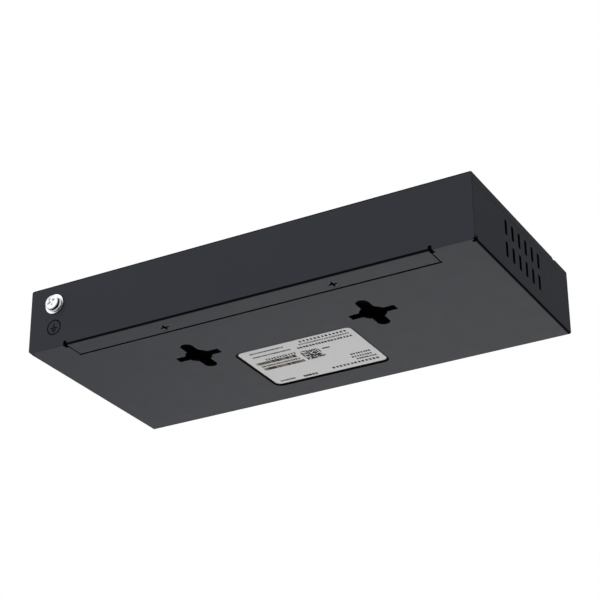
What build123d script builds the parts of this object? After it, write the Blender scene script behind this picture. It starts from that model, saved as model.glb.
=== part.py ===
from build123d import *
import os

# Desktop ethernet switch in a case of two folded steel sheets.
# The origin is the centre of the case's underside. +Z is up, the ports face -Y and the
# rear wall faces +Y, so +X is to the right seen from the ports. Sizes are in millimetres.

# Case
case_width = 190.0
case_depth = 88.8
case_height = 27.5
sheet = 1.0
bend_radius = 1.2  # outside radius of a fold
seam_gap = 0.15  # between sheet edges that meet or nest
butt_gap = 0.05  # between the rear wall and the sheet edges behind it
edge_round = 0.4  # at the rear corners
rear_foot_round = 0.3  # along the lower edge of the rear wall
corner_cut = 1.0  # at the rear wall's lower corners
corner_relief = 1.8  # height and width of the notches at the rear ends of the side folds
corner_relief_length = 1.2
skirt_height = 4.2  # of the cover's side flanges, roof included
joggle_reach = 2.8  # of the walls' joggled edges behind the flanges

# Front lip of the tray and the nicks behind it
lip_depth = 10.8
nick_length = 3.4
nick_width = 1.6
nick_height = 1.3
tongue_spacing = 116.0
tongue_width = 16.0
tongue_reach = 6.0

# Tab under the case that the cover is screwed down by
tab_width = 154.0
tab_depth = 10.0
tab_gap = 0.5
tab_relief_width = 1.4
tab_relief_length = 2.6
tab_relief_height = 1.8
pocket_land = 1.2  # how far the raised strip laps over the floor
pocket_corner_hole = 0.6  # radius of the relief holes at the pocket's corners
tab_screw_spacing = 72.0
tab_screw_inset = 6.4  # from the rear face
collar_radius = 2.5
collar_height = 1.5

# Fasteners: M3 throughout
thread_radius = 1.5
thread_clearance = 0.05
through_radius = 1.7
flat_head_sink = 0.05  # below flush
flat_screw_length = 5.0
pan_head_radius = 3.0
pan_head_height = 1.8
board_screw_gap = 1.2  # from the screw's end to the bottom of its bore
recess_span = 2.6
recess_width = 0.8
recess_depth = 0.9

# Vents in the side walls
vent_y_count = 6
vent_z_count = 2
vent_pitch_y = 6.04
vent_pitch_z = 9.0
vent_length = 6.3
vent_width = 2.2
vent_end_chamfer = 0.5
vent_offset_y = 0.4  # from the middle of the case
vent_offset_z = -0.15

# Keyholes for wall screws: a round middle with a flat-ended slot and a round-ended slot
keyhole_spacing = 76.2
keyhole_inset = 34.0  # from the rear face
keyhole_radius = 5.3
side_slot_length = 19.0
side_slot_width = 3.8
long_slot_length = 22.6
long_slot_width = 5.2

# Rating label and its recess
label_width = 51.0
label_depth = 35.0
label_corner = 3.0
label_x = 0.7
label_inset = 30.9  # from the front face to the middle of the label
label_thickness = 0.15
label_margin = 0.3
label_recess = 0.35
label_land = 1.2

# Ground terminal on the rear wall
ground_inset = 11.8  # from the side
ground_drop = 8.9  # from the roof
flat_washer_radius = 4.1
flat_washer_thickness = 0.8
lock_washer_radius = 2.75
lock_washer_thickness = 0.6
lock_washer_split = 0.7
ground_head_height = 1.7
ground_screw_length = 6.4
clinch_shank_radius = 2.1
clinch_flange_radius = 3.2
clinch_flange_thickness = 2.4

# Circuit board
board_side_gap = 7.0  # to the outside of the case
board_rear_gap = 16.4
board_front_gap = 0.6  # to the front panel
board_thickness = 1.6
standoff_radius = 2.75
standoff_floor = 1.4  # solid metal under the bore
standoff_side_inset = 13.0
standoff_front_inset = 24.4
standoff_rear_inset = 22.4
film_thickness = 0.2
film_margin = 6.0  # round the keyholes

# Ethernet jacks
port_count = 4
port_pitch = 14.0
jack_end_wall = 1.5
jack_gap = 4.0
jack_inlet_share = 1 / 3  # of the room between status lights and power inlet
jack_height = 13.4
jack_headroom = 5.5  # from the jacks to the outside of the roof
jack_depth = 18.0
jack_proud = 0.4
jack_panel_gap = 0.3
shield_sheet = 0.25
plug_width = 11.9
plug_height = 8.1
plug_depth = 13.3
plug_floor = 2.8  # above the board
latch_width = 6.2
latch_height = 1.2
latch_tip_width = 3.4
latch_tip_height = 1.0
shield_mouth_width = 12.7
shield_mouth_height = 11.6
shield_mouth_floor = 0.5  # above the board
contact_count = 8
contact_pitch = 1.02
contact_width = 0.5
contact_thickness = 0.35
contact_leg_inset = 0.95  # from the housing's rear face
contact_ceiling = 0.85  # below the housing's top
contact_bar_inset = 2.6  # from the housing's front face
contact_tip_inset = 9.2
contact_tip_drop = 3.4
contact_nose = 1.05  # length of the fold between bar and tip
contact_room = 9.2

# Light pipes and their diodes
pipe_drop = 3.3  # from the roof to the middle of the pipes
pipe_width = 2.8
pipe_thickness = 1.6
pipe_panel_gap = 0.15
pipe_proud = 0.2
pipe_leg_gap = 2.6  # behind the jacks, to the middle of the leg
pipe_bar_floor = 3.6  # above the board
pipe_bar_height = 2.0
pipe_foot_reach = 2.2
diode_length = 1.6
diode_width = 1.2
diode_height = 0.7
diode_gap = 0.3
status_spacing = 8.0
status_inset = 17.6  # from the side to the middle of the two lights

# Power inlet jack
inlet_inset = 15.0  # from the side
inlet_width = 9.0
inlet_height = 11.0
inlet_depth = 14.0
inlet_axis = 6.5  # above the board
inlet_nose_radius = 4.0
inlet_bore_radius = 3.15
inlet_bore_depth = 10.0
inlet_pin_radius = 1.0
inlet_pin_length = 9.0
spring_width = 2.0
spring_thickness = 0.3
spring_channel = 1.4

# Parts on the board
transformer_width = 15.0
transformer_depth = 9.6
transformer_height = 5.6
transformer_gap = 10.2  # from the light pipes' legs to the middle
transformer_lead_count = 4
lead_pitch = 3.2
lead_width = 0.5
lead_thickness = 0.25
lead_reach = 1.4
lead_lift = 1.6
chip_size = 14.0
chip_height = 0.9
pad_size = 13.0
pad_thickness = 0.5
sink_size = 24.0
sink_base = 2.0
sink_height = 10.0
fin_count = 8
fin_thickness = 0.9
flash_offset = (-24.0, 6.0)  # from the chip
crystal_offset = (-18.0, -6.0)
crystal_length = 5.0
crystal_width = 3.2
crystal_height = 1.2
crystal_rim = 0.3
crystal_base = 0.7
capacitor_radius = 4.0
capacitor_height = 12.0
capacitor_chamfer = 0.5
capacitor_inset = 26.0  # from the power inlet towards the chip
inductor_size = 7.3
inductor_height = 4.0
inductor_corner = 1.2
inductor_inset = 42.0
regulator_inset = 14.0
power_row_gap = 16.0  # from the transformers to the first row of power parts
power_row_pitch = 12.0
small_package_width = 4.9
small_package_depth = 3.9
small_package_height = 1.5
small_package_lead_count = 4
small_lead_pitch = 1.27
surge_inset = 6.0
fuse_spacing = 6.0
diode_package = (4.4, 3.6, 2.2)
fuse_package = (4.6, 3.2, 1.0)
chip_part = (1.6, 0.8, 0.8)
chip_capacitor_count = 7
array_part = (3.2, 1.6, 0.6)

# Places and sizes that follow from the ones above
flat_head_radius = thread_radius + sheet - flat_head_sink  # a cone as deep as the tab
side_x = case_width / 2
front_y = -case_depth / 2
rear_y = case_depth / 2
panel_back_y = front_y + sheet
wall_front_y = rear_y - sheet
tray_rear_y = wall_front_y - butt_gap
lip_rear_y = front_y + lip_depth
roof_front_y = lip_rear_y + seam_gap
lip_seam_z = case_height - sheet - seam_gap
tab_front_y = rear_y - tab_depth
tab_screw_y = rear_y - tab_screw_inset
skirt_z = case_height - skirt_height
wall_top_z = skirt_z - seam_gap
joggle_x = side_x - 2 * sheet - seam_gap  # inside of the walls' joggled edges
vent_centre_z = case_height / 2 + vent_offset_z
keyhole_y = rear_y - keyhole_inset
label_y = front_y + label_inset
ground_x = side_x - ground_inset
ground_z = case_height - ground_drop
board_top = case_height - jack_headroom - jack_height
board_bottom = board_top - board_thickness
standoff_height = board_bottom - sheet
standoff_bore_depth = standoff_height - standoff_floor
board_screw_length = board_thickness + standoff_bore_depth - board_screw_gap
board_width = case_width - 2 * board_side_gap
board_rear_y = rear_y - board_rear_gap
board_front_y = panel_back_y + board_front_gap
jack_width = port_count * port_pitch + 2 * jack_end_wall
jack_front_y = front_y - jack_proud
jack_rear_y = jack_front_y + jack_depth
jack_top = board_top + jack_height
jack_step = (jack_width + jack_gap) / 2
inlet_x = side_x - inlet_inset
status_x = status_inset - side_x
status_places = [status_x - status_spacing / 2, status_x + status_spacing / 2]
jacks_left_x = status_places[1] + pipe_width / 2
jacks_right_x = inlet_x - inlet_width / 2
jacks_room = jacks_right_x - jacks_left_x - 2 * jack_width - jack_gap
jacks_x = jacks_right_x - jacks_room * jack_inlet_share - jack_width - jack_gap / 2
jack_centres = {"left": jacks_x - jack_step, "right": jacks_x + jack_step}
port_offsets = [(i - (port_count - 1) / 2) * port_pitch for i in range(port_count)]
housing_front_y = jack_front_y + shield_sheet
housing_rear_y = jack_rear_y - shield_sheet
housing_top = jack_top - shield_sheet
plug_z = board_top + plug_floor
leg_rear_y = housing_rear_y - contact_leg_inset
leg_front_y = leg_rear_y - contact_thickness
contact_top = housing_top - contact_ceiling
contact_bar_y = housing_front_y + contact_bar_inset
contact_tip_y = housing_front_y + contact_tip_inset
pipe_height = case_height - pipe_drop
pipe_leg_y = jack_rear_y + pipe_leg_gap
transformer_y = pipe_leg_y + transformer_gap
diode_top = board_top + diode_height
inlet_z = board_top + inlet_axis
inlet_front_y = panel_back_y + seam_gap
inlet_nose_y = front_y
tab_screw_places = [(-tab_screw_spacing / 2, tab_screw_y), (tab_screw_spacing / 2, tab_screw_y)]
keyhole_places = [(-keyhole_spacing / 2, keyhole_y), (keyhole_spacing / 2, keyhole_y)]
standoff_x = side_x - standoff_side_inset
standoff_places = [
    (x, y)
    for x in (-standoff_x, standoff_x)
    for y in (front_y + standoff_front_inset, rear_y - standoff_rear_inset)
]
chip_x = jacks_x
chip_y = (transformer_y + transformer_depth / 2 + lead_reach + board_rear_y) / 2
flash_x = chip_x + flash_offset[0]
flash_y = chip_y + flash_offset[1]
crystal_x = chip_x + crystal_offset[0]
crystal_y = chip_y + crystal_offset[1]
power_rows = [transformer_y + power_row_gap, transformer_y + power_row_gap + power_row_pitch]
capacitor_places = [(inlet_x - capacitor_inset, y) for y in power_rows]
inductor_places = [(inlet_x - inductor_inset, y) for y in power_rows]
regulator_x = inlet_x - regulator_inset
regulator_y = sum(power_rows) / 2
surge_place = (inlet_x - surge_inset, transformer_y)
fuse_place = (inlet_x - surge_inset, transformer_y + fuse_spacing)
rear_plane = Plane.XZ.offset(-rear_y)

os.makedirs("parts", exist_ok=True)


def save(piece, name):
    """Label a finished piece and write it to its own file."""
    piece.part.label = name
    export_step(piece.part, f"parts/{name}.step")


def cross_recess():
    """Sketch the cross of a screwdriver recess on the sketch plane in use."""
    Rectangle(recess_span, recess_width)
    Rectangle(recess_width, recess_span)


# Top cover: roof, side flanges, rear wall and the tab, folded from one sheet
with BuildPart() as top_cover:
    with BuildSketch():
        with Locations((0, (roof_front_y + rear_y) / 2)):
            Rectangle(case_width, rear_y - roof_front_y)
    extrude(amount=case_height)
    roof_edges = top_cover.faces().sort_by(Axis.Z)[-1].edges()
    fillet(roof_edges.sort_by(Axis.Y)[1:], bend_radius)
    open_faces = [top_cover.faces().sort_by(Axis.Z)[0], top_cover.faces().sort_by(Axis.Y)[0]]
    offset(amount=-sheet, openings=open_faces)

    # The side flanges are short, and butt against the rear wall below the roof's fold
    with BuildSketch():
        with Locations((0, (roof_front_y + wall_front_y) / 2)):
            Rectangle(case_width, wall_front_y - roof_front_y)
    extrude(amount=skirt_z, mode=Mode.SUBTRACT)
    with BuildSketch():
        with Locations((0, wall_front_y - butt_gap / 2)):
            with GridLocations(case_width, 0, 2, 1):
                Rectangle(2 * sheet, butt_gap)
    extrude(amount=case_height - bend_radius, mode=Mode.SUBTRACT)

    # Relief nicks at the front ends of the roof's side folds
    with BuildSketch(Plane.XY.offset(case_height)):
        with Locations((0, roof_front_y + nick_length / 2)):
            with GridLocations(case_width, 0, 2, 1):
                Rectangle(2 * nick_width, nick_length)
    extrude(amount=-nick_height, mode=Mode.SUBTRACT)

    # The rear wall's lower corners are cut off
    with BuildSketch(rear_plane):
        with BuildLine():
            Polyline((side_x, 0), (side_x - corner_cut, 0), (side_x, corner_cut), close=True)
        make_face()
        mirror(about=Plane.YZ)
    extrude(amount=sheet, mode=Mode.SUBTRACT)

    # The tab is folded forward from the middle of the rear wall's lower edge
    with BuildSketch():
        with Locations((0, rear_y - sheet / 2)):
            Rectangle(tab_width, sheet)
    extrude(amount=2 * bend_radius, mode=Mode.SUBTRACT)
    with BuildSketch(Plane.YZ):
        with BuildLine():
            FilletPolyline(
                (rear_y - sheet / 2, 2 * bend_radius),
                (rear_y - sheet / 2, sheet / 2),
                (tab_front_y, sheet / 2),
                radius=bend_radius - sheet / 2,
            )
        trace(line_width=sheet)
    extrude(amount=tab_width / 2, both=True)
    with BuildSketch():
        with Locations((0, rear_y - tab_relief_length / 2)):
            with GridLocations(tab_width + tab_relief_width, 0, 2, 1):
                Rectangle(tab_relief_width, tab_relief_length)
    extrude(amount=tab_relief_height, mode=Mode.SUBTRACT)
    with BuildSketch():
        with Locations(*tab_screw_places):
            Circle(thread_radius + thread_clearance + sheet)
    extrude(amount=sheet, taper=45, mode=Mode.SUBTRACT)

    # Hole that the ground terminal's clinch nut is pressed into
    with BuildSketch(rear_plane):
        with Locations((ground_x, ground_z)):
            Circle(clinch_shank_radius + thread_clearance)
    extrude(amount=sheet, mode=Mode.SUBTRACT)

    rear_feet = (
        top_cover.edges()
        .filter_by(Axis.X)
        .filter_by_position(Axis.Z, -seam_gap, seam_gap)
        .filter_by_position(Axis.Y, rear_y - seam_gap, rear_y + seam_gap)
    )
    fillet(rear_feet, rear_foot_round)
    rear_corners = (
        top_cover.edges()
        .filter_by(Axis.Z)
        .filter_by_position(Axis.Y, rear_y - seam_gap, rear_y + seam_gap)
        .group_by(SortBy.LENGTH)[-1]
    )
    fillet(rear_corners, edge_round)
save(top_cover, "top_cover")

# Base tray: floor, side walls, front panel and top lip, folded from one sheet
with BuildPart() as base_tray:
    with BuildSketch():
        with Locations((0, (front_y + tray_rear_y) / 2)):
            Rectangle(case_width, tray_rear_y - front_y)
    extrude(amount=case_height)
    floor_edges = base_tray.faces().sort_by(Axis.Z)[0].edges()
    fillet(floor_edges.sort_by(Axis.Y)[:-1], bend_radius)
    open_faces = [base_tray.faces().sort_by(Axis.Z)[-1], base_tray.faces().sort_by(Axis.Y)[-1]]
    offset(amount=-sheet, openings=open_faces)
    with BuildSketch(Plane.XY.offset(case_height - sheet)):
        with Locations((0, (front_y + lip_rear_y) / 2)):
            Rectangle(case_width, lip_depth)
    extrude(amount=sheet)

    # Behind the lip the walls end below the cover's flanges, and their edges are joggled inwards
    with BuildSketch(Plane.XY.offset(wall_top_z)):
        with Locations((0, (lip_rear_y + tray_rear_y) / 2)):
            Rectangle(case_width, tray_rear_y - lip_rear_y)
    extrude(amount=case_height - wall_top_z, mode=Mode.SUBTRACT)
    lip_edges = base_tray.faces().sort_by(Axis.Z)[-1].edges()
    fillet(lip_edges.sort_by(Axis.Y)[:-1], bend_radius)
    with BuildSketch(Plane.XZ.offset(-tray_rear_y)):
        with Locations((joggle_x, wall_top_z - sheet)):
            Rectangle(side_x - joggle_x, sheet, align=Align.MIN)
            Rectangle(sheet, sheet + joggle_reach, align=Align.MIN)
        mirror(about=Plane.YZ)
    extrude(amount=tray_rear_y - lip_rear_y)

    # Relief notches at the rear ends of the side folds
    with BuildSketch():
        with Locations((0, tray_rear_y - corner_relief_length / 2)):
            with GridLocations(case_width, 0, 2, 1):
                Rectangle(2 * corner_relief, corner_relief_length)
    extrude(amount=corner_relief, mode=Mode.SUBTRACT)

    # Vent slots through both side walls
    with BuildSketch(Plane.YZ):
        with Locations((vent_offset_y, vent_centre_z)):
            with GridLocations(vent_pitch_y, vent_pitch_z, vent_y_count, vent_z_count):
                Rectangle(vent_width, vent_length)
        chamfer(vertices(), vent_end_chamfer)
    extrude(amount=side_x, both=True, mode=Mode.SUBTRACT)

    # The strip over the tab is raised by one sheet
    raised_width = tab_width + 2 * (tab_gap + pocket_land)
    raised_front_y = tab_front_y - tab_gap - pocket_land
    raised_rear_y = wall_front_y - bend_radius + sheet - seam_gap
    with BuildSketch(Plane.XY.offset(sheet)):
        with Locations((0, (raised_front_y + raised_rear_y) / 2)):
            Rectangle(raised_width, raised_rear_y - raised_front_y)
    extrude(amount=sheet)
    with BuildSketch():
        with Locations((0, (tab_front_y - tab_gap + rear_y) / 2)):
            Rectangle(tab_width + 2 * tab_gap, tab_depth + tab_gap)
        with Locations((0, rear_y - tab_relief_length / 2)):
            Rectangle(tab_width + 2 * tab_relief_width, tab_relief_length)
        with Locations((0, tab_front_y - tab_gap / 2)):
            with GridLocations(tab_width + tab_gap, 0, 2, 1):
                Circle(pocket_corner_hole)
    extrude(amount=sheet, mode=Mode.SUBTRACT)
    with BuildSketch(Plane.XY.offset(2 * sheet)):
        with Locations(*tab_screw_places):
            Circle(collar_radius)
    extrude(amount=collar_height)
    with BuildSketch(Plane.XY.offset(sheet)):
        with Locations(*tab_screw_places):
            Circle(thread_radius + thread_clearance)
    extrude(amount=sheet + collar_height, mode=Mode.SUBTRACT)

    # Keyholes for hanging the case on two wall screws
    with BuildSketch():
        with Locations(*keyhole_places):
            Circle(keyhole_radius)
            Rectangle(side_slot_length, side_slot_width)
            SlotOverall(long_slot_length, long_slot_width, rotation=90)
    extrude(amount=sheet, mode=Mode.SUBTRACT)

    # Pressed recess for the rating label
    with BuildSketch(Plane.XY.offset(sheet)):
        with Locations((label_x, label_y)):
            Rectangle(
                label_width + 2 * (label_margin + label_land),
                label_depth + 2 * (label_margin + label_land),
            )
        chamfer(vertices(), label_corner)
    extrude(amount=label_recess)
    with BuildSketch():
        with Locations((label_x, label_y)):
            RectangleRounded(
                label_width + 2 * label_margin,
                label_depth + 2 * label_margin,
                label_corner + label_margin,
            )
    extrude(amount=label_recess, mode=Mode.SUBTRACT)

    # Openings of the front panel
    front_plane = Plane.XZ.offset(-front_y)
    with BuildSketch(front_plane):
        for jack_x in jack_centres.values():
            with Locations((jack_x, board_top + jack_height / 2)):
                Rectangle(jack_width + 2 * jack_panel_gap, jack_height + 2 * jack_panel_gap)
            with Locations(*[(jack_x + offset_x, pipe_height) for offset_x in port_offsets]):
                Rectangle(pipe_width + 2 * pipe_panel_gap, pipe_thickness + 2 * pipe_panel_gap)
        with Locations(*[(x, pipe_height) for x in status_places]):
            Rectangle(pipe_width + 2 * pipe_panel_gap, pipe_thickness + 2 * pipe_panel_gap)
        with Locations((inlet_x, inlet_z)):
            Circle(inlet_nose_radius + seam_gap)
    extrude(amount=-sheet, mode=Mode.SUBTRACT)

    # Joggled tongues of the lip that slip under the roof
    with BuildSketch(Plane.YZ.offset(tongue_spacing / 2 - tongue_width / 2)):
        with BuildLine():
            Polyline(
                (lip_rear_y - 3 * sheet, case_height - sheet / 2),
                (lip_rear_y - sheet, case_height - sheet / 2),
                (lip_rear_y, lip_seam_z - sheet / 2),
                (lip_rear_y + tongue_reach, lip_seam_z - sheet / 2),
            )
        trace(line_width=sheet)
    tongue = extrude(amount=tongue_width)
    mirror(tongue, about=Plane.YZ)
save(base_tray, "base_tray")

# Screws that hold the cover's tab to the tray
with BuildPart() as cover_screws:
    with BuildSketch(Plane.XY.offset(flat_head_sink)):
        with Locations(*tab_screw_places):
            Circle(thread_radius)
    extrude(amount=flat_screw_length)
    with BuildSketch(Plane.XY.offset(flat_head_sink)):
        with Locations(*tab_screw_places):
            Circle(flat_head_radius)
    extrude(amount=flat_head_radius - thread_radius, taper=45)
    with BuildSketch(Plane.XY.offset(flat_head_sink)):
        with Locations(*tab_screw_places):
            cross_recess()
    extrude(amount=recess_depth, mode=Mode.SUBTRACT)
save(cover_screws, "cover_screws")

# Rating label at the bottom of its recess
with BuildPart() as rating_label:
    with BuildSketch(Plane.XY.offset(label_recess - label_thickness)):
        with Locations((label_x, label_y)):
            RectangleRounded(label_width, label_depth, label_corner)
    extrude(amount=label_thickness)
save(rating_label, "rating_label")

# Ground terminal: flat washer, split lock washer, pan head screw and clinch nut
flat_washer_plane = rear_plane
lock_washer_plane = rear_plane.offset(-flat_washer_thickness)
head_plane = lock_washer_plane.offset(-lock_washer_thickness)
with BuildPart() as ground_flat_washer:
    with BuildSketch(flat_washer_plane):
        with Locations((ground_x, ground_z)):
            Circle(flat_washer_radius)
            Circle(through_radius, mode=Mode.SUBTRACT)
    extrude(amount=-flat_washer_thickness)
save(ground_flat_washer, "ground_flat_washer")

with BuildPart() as ground_lock_washer:
    with BuildSketch(lock_washer_plane):
        with Locations((ground_x, ground_z)):
            Circle(lock_washer_radius)
            Circle(through_radius, mode=Mode.SUBTRACT)
        with Locations((ground_x, ground_z + lock_washer_radius)):
            Rectangle(lock_washer_split, 2 * lock_washer_radius, mode=Mode.SUBTRACT)
    extrude(amount=-lock_washer_thickness)
save(ground_lock_washer, "ground_lock_washer")

with BuildPart() as ground_screw:
    with BuildSketch(head_plane):
        with Locations((ground_x, ground_z)):
            Circle(pan_head_radius)
    extrude(amount=-ground_head_height)
    head_rim = ground_screw.edges().filter_by(GeomType.CIRCLE).sort_by(Axis.Y)[-1]
    chamfer(head_rim, ground_head_height / 4)
    with BuildSketch(head_plane):
        with Locations((ground_x, ground_z)):
            Circle(thread_radius)
    extrude(amount=ground_screw_length)
    with BuildSketch(head_plane.offset(-ground_head_height)):
        with Locations((ground_x, ground_z)):
            cross_recess()
    extrude(amount=recess_depth, mode=Mode.SUBTRACT)
save(ground_screw, "ground_screw")

with BuildPart() as ground_nut:
    with BuildSketch(rear_plane):
        with Locations((ground_x, ground_z)):
            Circle(clinch_shank_radius)
    extrude(amount=sheet)
    with BuildSketch(rear_plane.offset(sheet)):
        with Locations((ground_x, ground_z)):
            RegularPolygon(clinch_flange_radius, 6, major_radius=False)
    extrude(amount=clinch_flange_thickness)
    with BuildSketch(rear_plane):
        with Locations((ground_x, ground_z)):
            Circle(thread_radius + thread_clearance)
    extrude(amount=sheet + clinch_flange_thickness, mode=Mode.SUBTRACT)
save(ground_nut, "ground_nut")

# Stand-offs on the floor, the board that rests on them and its screws
with BuildPart() as standoffs:
    with BuildSketch(Plane.XY.offset(sheet)):
        with Locations(*standoff_places):
            RegularPolygon(standoff_radius, 6, major_radius=False)
    extrude(amount=standoff_height)
    with BuildSketch(Plane.XY.offset(board_bottom)):
        with Locations(*standoff_places):
            Circle(thread_radius + thread_clearance)
    extrude(amount=-standoff_bore_depth, mode=Mode.SUBTRACT)
save(standoffs, "standoffs")

with BuildPart() as circuit_board:
    with BuildSketch(Plane.XY.offset(board_bottom)):
        with Locations((0, (board_front_y + board_rear_y) / 2)):
            Rectangle(board_width, board_rear_y - board_front_y)
        with Locations(*standoff_places):
            Circle(through_radius, mode=Mode.SUBTRACT)
    extrude(amount=board_thickness)
save(circuit_board, "circuit_board")

with BuildPart() as insulating_film:
    film_width = keyhole_spacing + side_slot_length + 2 * film_margin
    film_rear_y = min(keyhole_y + long_slot_length / 2 + film_margin, board_rear_y)
    film_front_y = keyhole_y - long_slot_length / 2 - film_margin
    with BuildSketch(Plane.XY.offset(board_bottom)):
        with Locations((0, (film_front_y + film_rear_y) / 2)):
            Rectangle(film_width, film_rear_y - film_front_y)
    extrude(amount=-film_thickness)
save(insulating_film, "insulating_film")

with BuildPart() as board_screws:
    with BuildSketch(Plane.XY.offset(board_top)):
        with Locations(*standoff_places):
            Circle(pan_head_radius)
    extrude(amount=pan_head_height)
    with BuildSketch(Plane.XY.offset(board_top)):
        with Locations(*standoff_places):
            Circle(thread_radius)
    extrude(amount=-board_screw_length)
save(board_screws, "board_screws")

# Spring contact of a jack: a leg up from the board, a bar forward and a slanted tip
with BuildPart() as contact:
    with BuildSketch(Plane.YZ):
        with BuildLine():
            Polyline(
                (leg_rear_y, board_top),
                (leg_rear_y, contact_top),
                (contact_bar_y, contact_top),
                (contact_tip_y, contact_top - contact_tip_drop),
                (contact_bar_y + contact_nose, contact_top - contact_thickness),
                (leg_front_y, contact_top - contact_thickness),
                (leg_front_y, board_top),
                close=True,
            )
        make_face()
    extrude(amount=contact_width / 2, both=True)

# Two gangs of four ethernet jacks
for side, jack_x in jack_centres.items():
    port_places = [jack_x + offset_x for offset_x in port_offsets]

    with BuildPart() as jack_shield:
        with BuildSketch(Plane.XY.offset(board_top)):
            with Locations((jack_x, (jack_front_y + jack_rear_y) / 2)):
                Rectangle(jack_width, jack_depth)
        extrude(amount=jack_height)
        offset(amount=-shield_sheet, openings=jack_shield.faces().sort_by(Axis.Z)[0])
        with BuildSketch(Plane.XZ.offset(-jack_front_y)):
            mouth_z = board_top + shield_mouth_floor + shield_mouth_height / 2
            with Locations(*[(x, mouth_z) for x in port_places]):
                Rectangle(shield_mouth_width, shield_mouth_height)
        extrude(amount=-shield_sheet, mode=Mode.SUBTRACT)
    save(jack_shield, f"jack_shield_{side}")

    with BuildPart() as jack_housing:
        with BuildSketch(Plane.XY.offset(board_top)):
            with Locations((jack_x, (housing_front_y + housing_rear_y) / 2)):
                Rectangle(jack_width - 2 * shield_sheet, housing_rear_y - housing_front_y)
        extrude(amount=housing_top - board_top)
        with BuildSketch(Plane.XZ.offset(-housing_front_y)):
            with Locations(*[(x, plug_z) for x in port_places]):
                Rectangle(plug_width, plug_height, align=(Align.CENTER, Align.MIN))
                Rectangle(latch_width, latch_height, align=(Align.CENTER, Align.MAX))
            with Locations(*[(x, plug_z - latch_height) for x in port_places]):
                Rectangle(latch_tip_width, latch_tip_height, align=(Align.CENTER, Align.MAX))
        extrude(amount=-plug_depth, mode=Mode.SUBTRACT)
        for port_x in port_places:
            with BuildSketch(Plane.YZ.offset(port_x)):
                with BuildLine():
                    Polyline(
                        (contact_bar_y - contact_thickness, plug_z + plug_height / 2),
                        (contact_bar_y - contact_thickness, contact_top),
                        (leg_rear_y, contact_top),
                        (leg_rear_y, board_top),
                        (leg_front_y - seam_gap, board_top),
                        (leg_front_y - seam_gap, contact_top - 2 * contact_thickness),
                        (housing_front_y + plug_depth, contact_top - 2 * contact_thickness),
                        (housing_front_y + plug_depth, plug_z + plug_height / 2),
                        close=True,
                    )
                make_face()
            extrude(amount=contact_room / 2, both=True, mode=Mode.SUBTRACT)
    save(jack_housing, f"jack_housing_{side}")

    with BuildPart() as contacts:
        with Locations(*[(x, 0) for x in port_places]):
            with GridLocations(contact_pitch, 0, contact_count, 1):
                add(contact.part)
    save(contacts, f"jack_contacts_{side}")


def build_light_pipe(places):
    """Return a moulded light pipe with one arm over the jacks for each place along X."""
    with BuildPart() as pipe:
        half = pipe_thickness / 2
        leg_foot = diode_top + diode_gap
        for place_x in places:
            with BuildSketch(Plane.YZ.offset(place_x)):
                with BuildLine():
                    Polyline(
                        (front_y - pipe_proud, pipe_height - half),
                        (pipe_leg_y - half, pipe_height - half),
                        (pipe_leg_y - half, leg_foot),
                        (pipe_leg_y + half, leg_foot),
                        (pipe_leg_y + half, pipe_height - half),
                        (pipe_leg_y - half, pipe_height + half),
                        (front_y - pipe_proud, pipe_height + half),
                        close=True,
                    )
                make_face()
            extrude(amount=pipe_width / 2, both=True)
        foot_x = (places[0] - pipe_foot_reach, places[-1] + pipe_foot_reach)
        with BuildSketch(Plane.XY.offset(board_top + pipe_bar_floor)):
            with Locations((sum(foot_x) / 2, pipe_leg_y)):
                Rectangle(foot_x[1] - foot_x[0] + pipe_thickness, pipe_thickness)
        extrude(amount=pipe_bar_height)
        with BuildSketch(Plane.XY.offset(board_top)):
            with Locations(*[(x, pipe_leg_y) for x in foot_x]):
                Rectangle(pipe_thickness, pipe_thickness)
        extrude(amount=pipe_bar_floor)
    return pipe


for side, jack_x in jack_centres.items():
    port_pipe = build_light_pipe([jack_x + offset_x for offset_x in port_offsets])
    save(port_pipe, f"light_pipe_{side}")
status_pipe = build_light_pipe(status_places)
save(status_pipe, "status_light_pipe")

with BuildPart() as light_diodes:
    diode_places = [jack_x + offset_x for jack_x in jack_centres.values() for offset_x in port_offsets]
    with BuildSketch(Plane.XY.offset(board_top)):
        with Locations(*[(x, pipe_leg_y) for x in diode_places + status_places]):
            Rectangle(diode_length, diode_width)
    extrude(amount=diode_height)
save(light_diodes, "light_diodes")

# Power inlet jack: moulded body, centre pin and sleeve spring
with BuildPart() as inlet_body:
    with BuildSketch(Plane.XZ.offset(-inlet_front_y)):
        with Locations((inlet_x, board_top)):
            Rectangle(inlet_width, inlet_height, align=(Align.CENTER, Align.MIN))
    extrude(amount=-inlet_depth)
    with BuildSketch(Plane.XZ.offset(-inlet_front_y)):
        with Locations((inlet_x, inlet_z)):
            Circle(inlet_nose_radius)
    extrude(amount=inlet_front_y - inlet_nose_y)
    with BuildSketch(Plane.XZ.offset(-inlet_nose_y)):
        with Locations((inlet_x, inlet_z)):
            Circle(inlet_bore_radius)
    extrude(amount=-inlet_bore_depth, mode=Mode.SUBTRACT)
    with BuildSketch(Plane.XZ.offset(-(panel_back_y + sheet))):
        with Locations((inlet_x, inlet_z - inlet_bore_radius - spring_channel)):
            Rectangle(spring_width + 2 * seam_gap, inlet_bore_radius, align=(Align.CENTER, Align.MIN))
    extrude(amount=-(inlet_bore_depth - 2 * sheet), mode=Mode.SUBTRACT)
save(inlet_body, "inlet_body")

with BuildPart() as inlet_pin:
    with BuildSketch(Plane.XZ.offset(-(inlet_nose_y + inlet_bore_depth))):
        with Locations((inlet_x, inlet_z)):
            Circle(inlet_pin_radius)
    extrude(amount=inlet_pin_length)
    chamfer(inlet_pin.edges().sort_by(Axis.Y)[0], inlet_pin_radius / 3)
save(inlet_pin, "inlet_pin")

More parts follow.
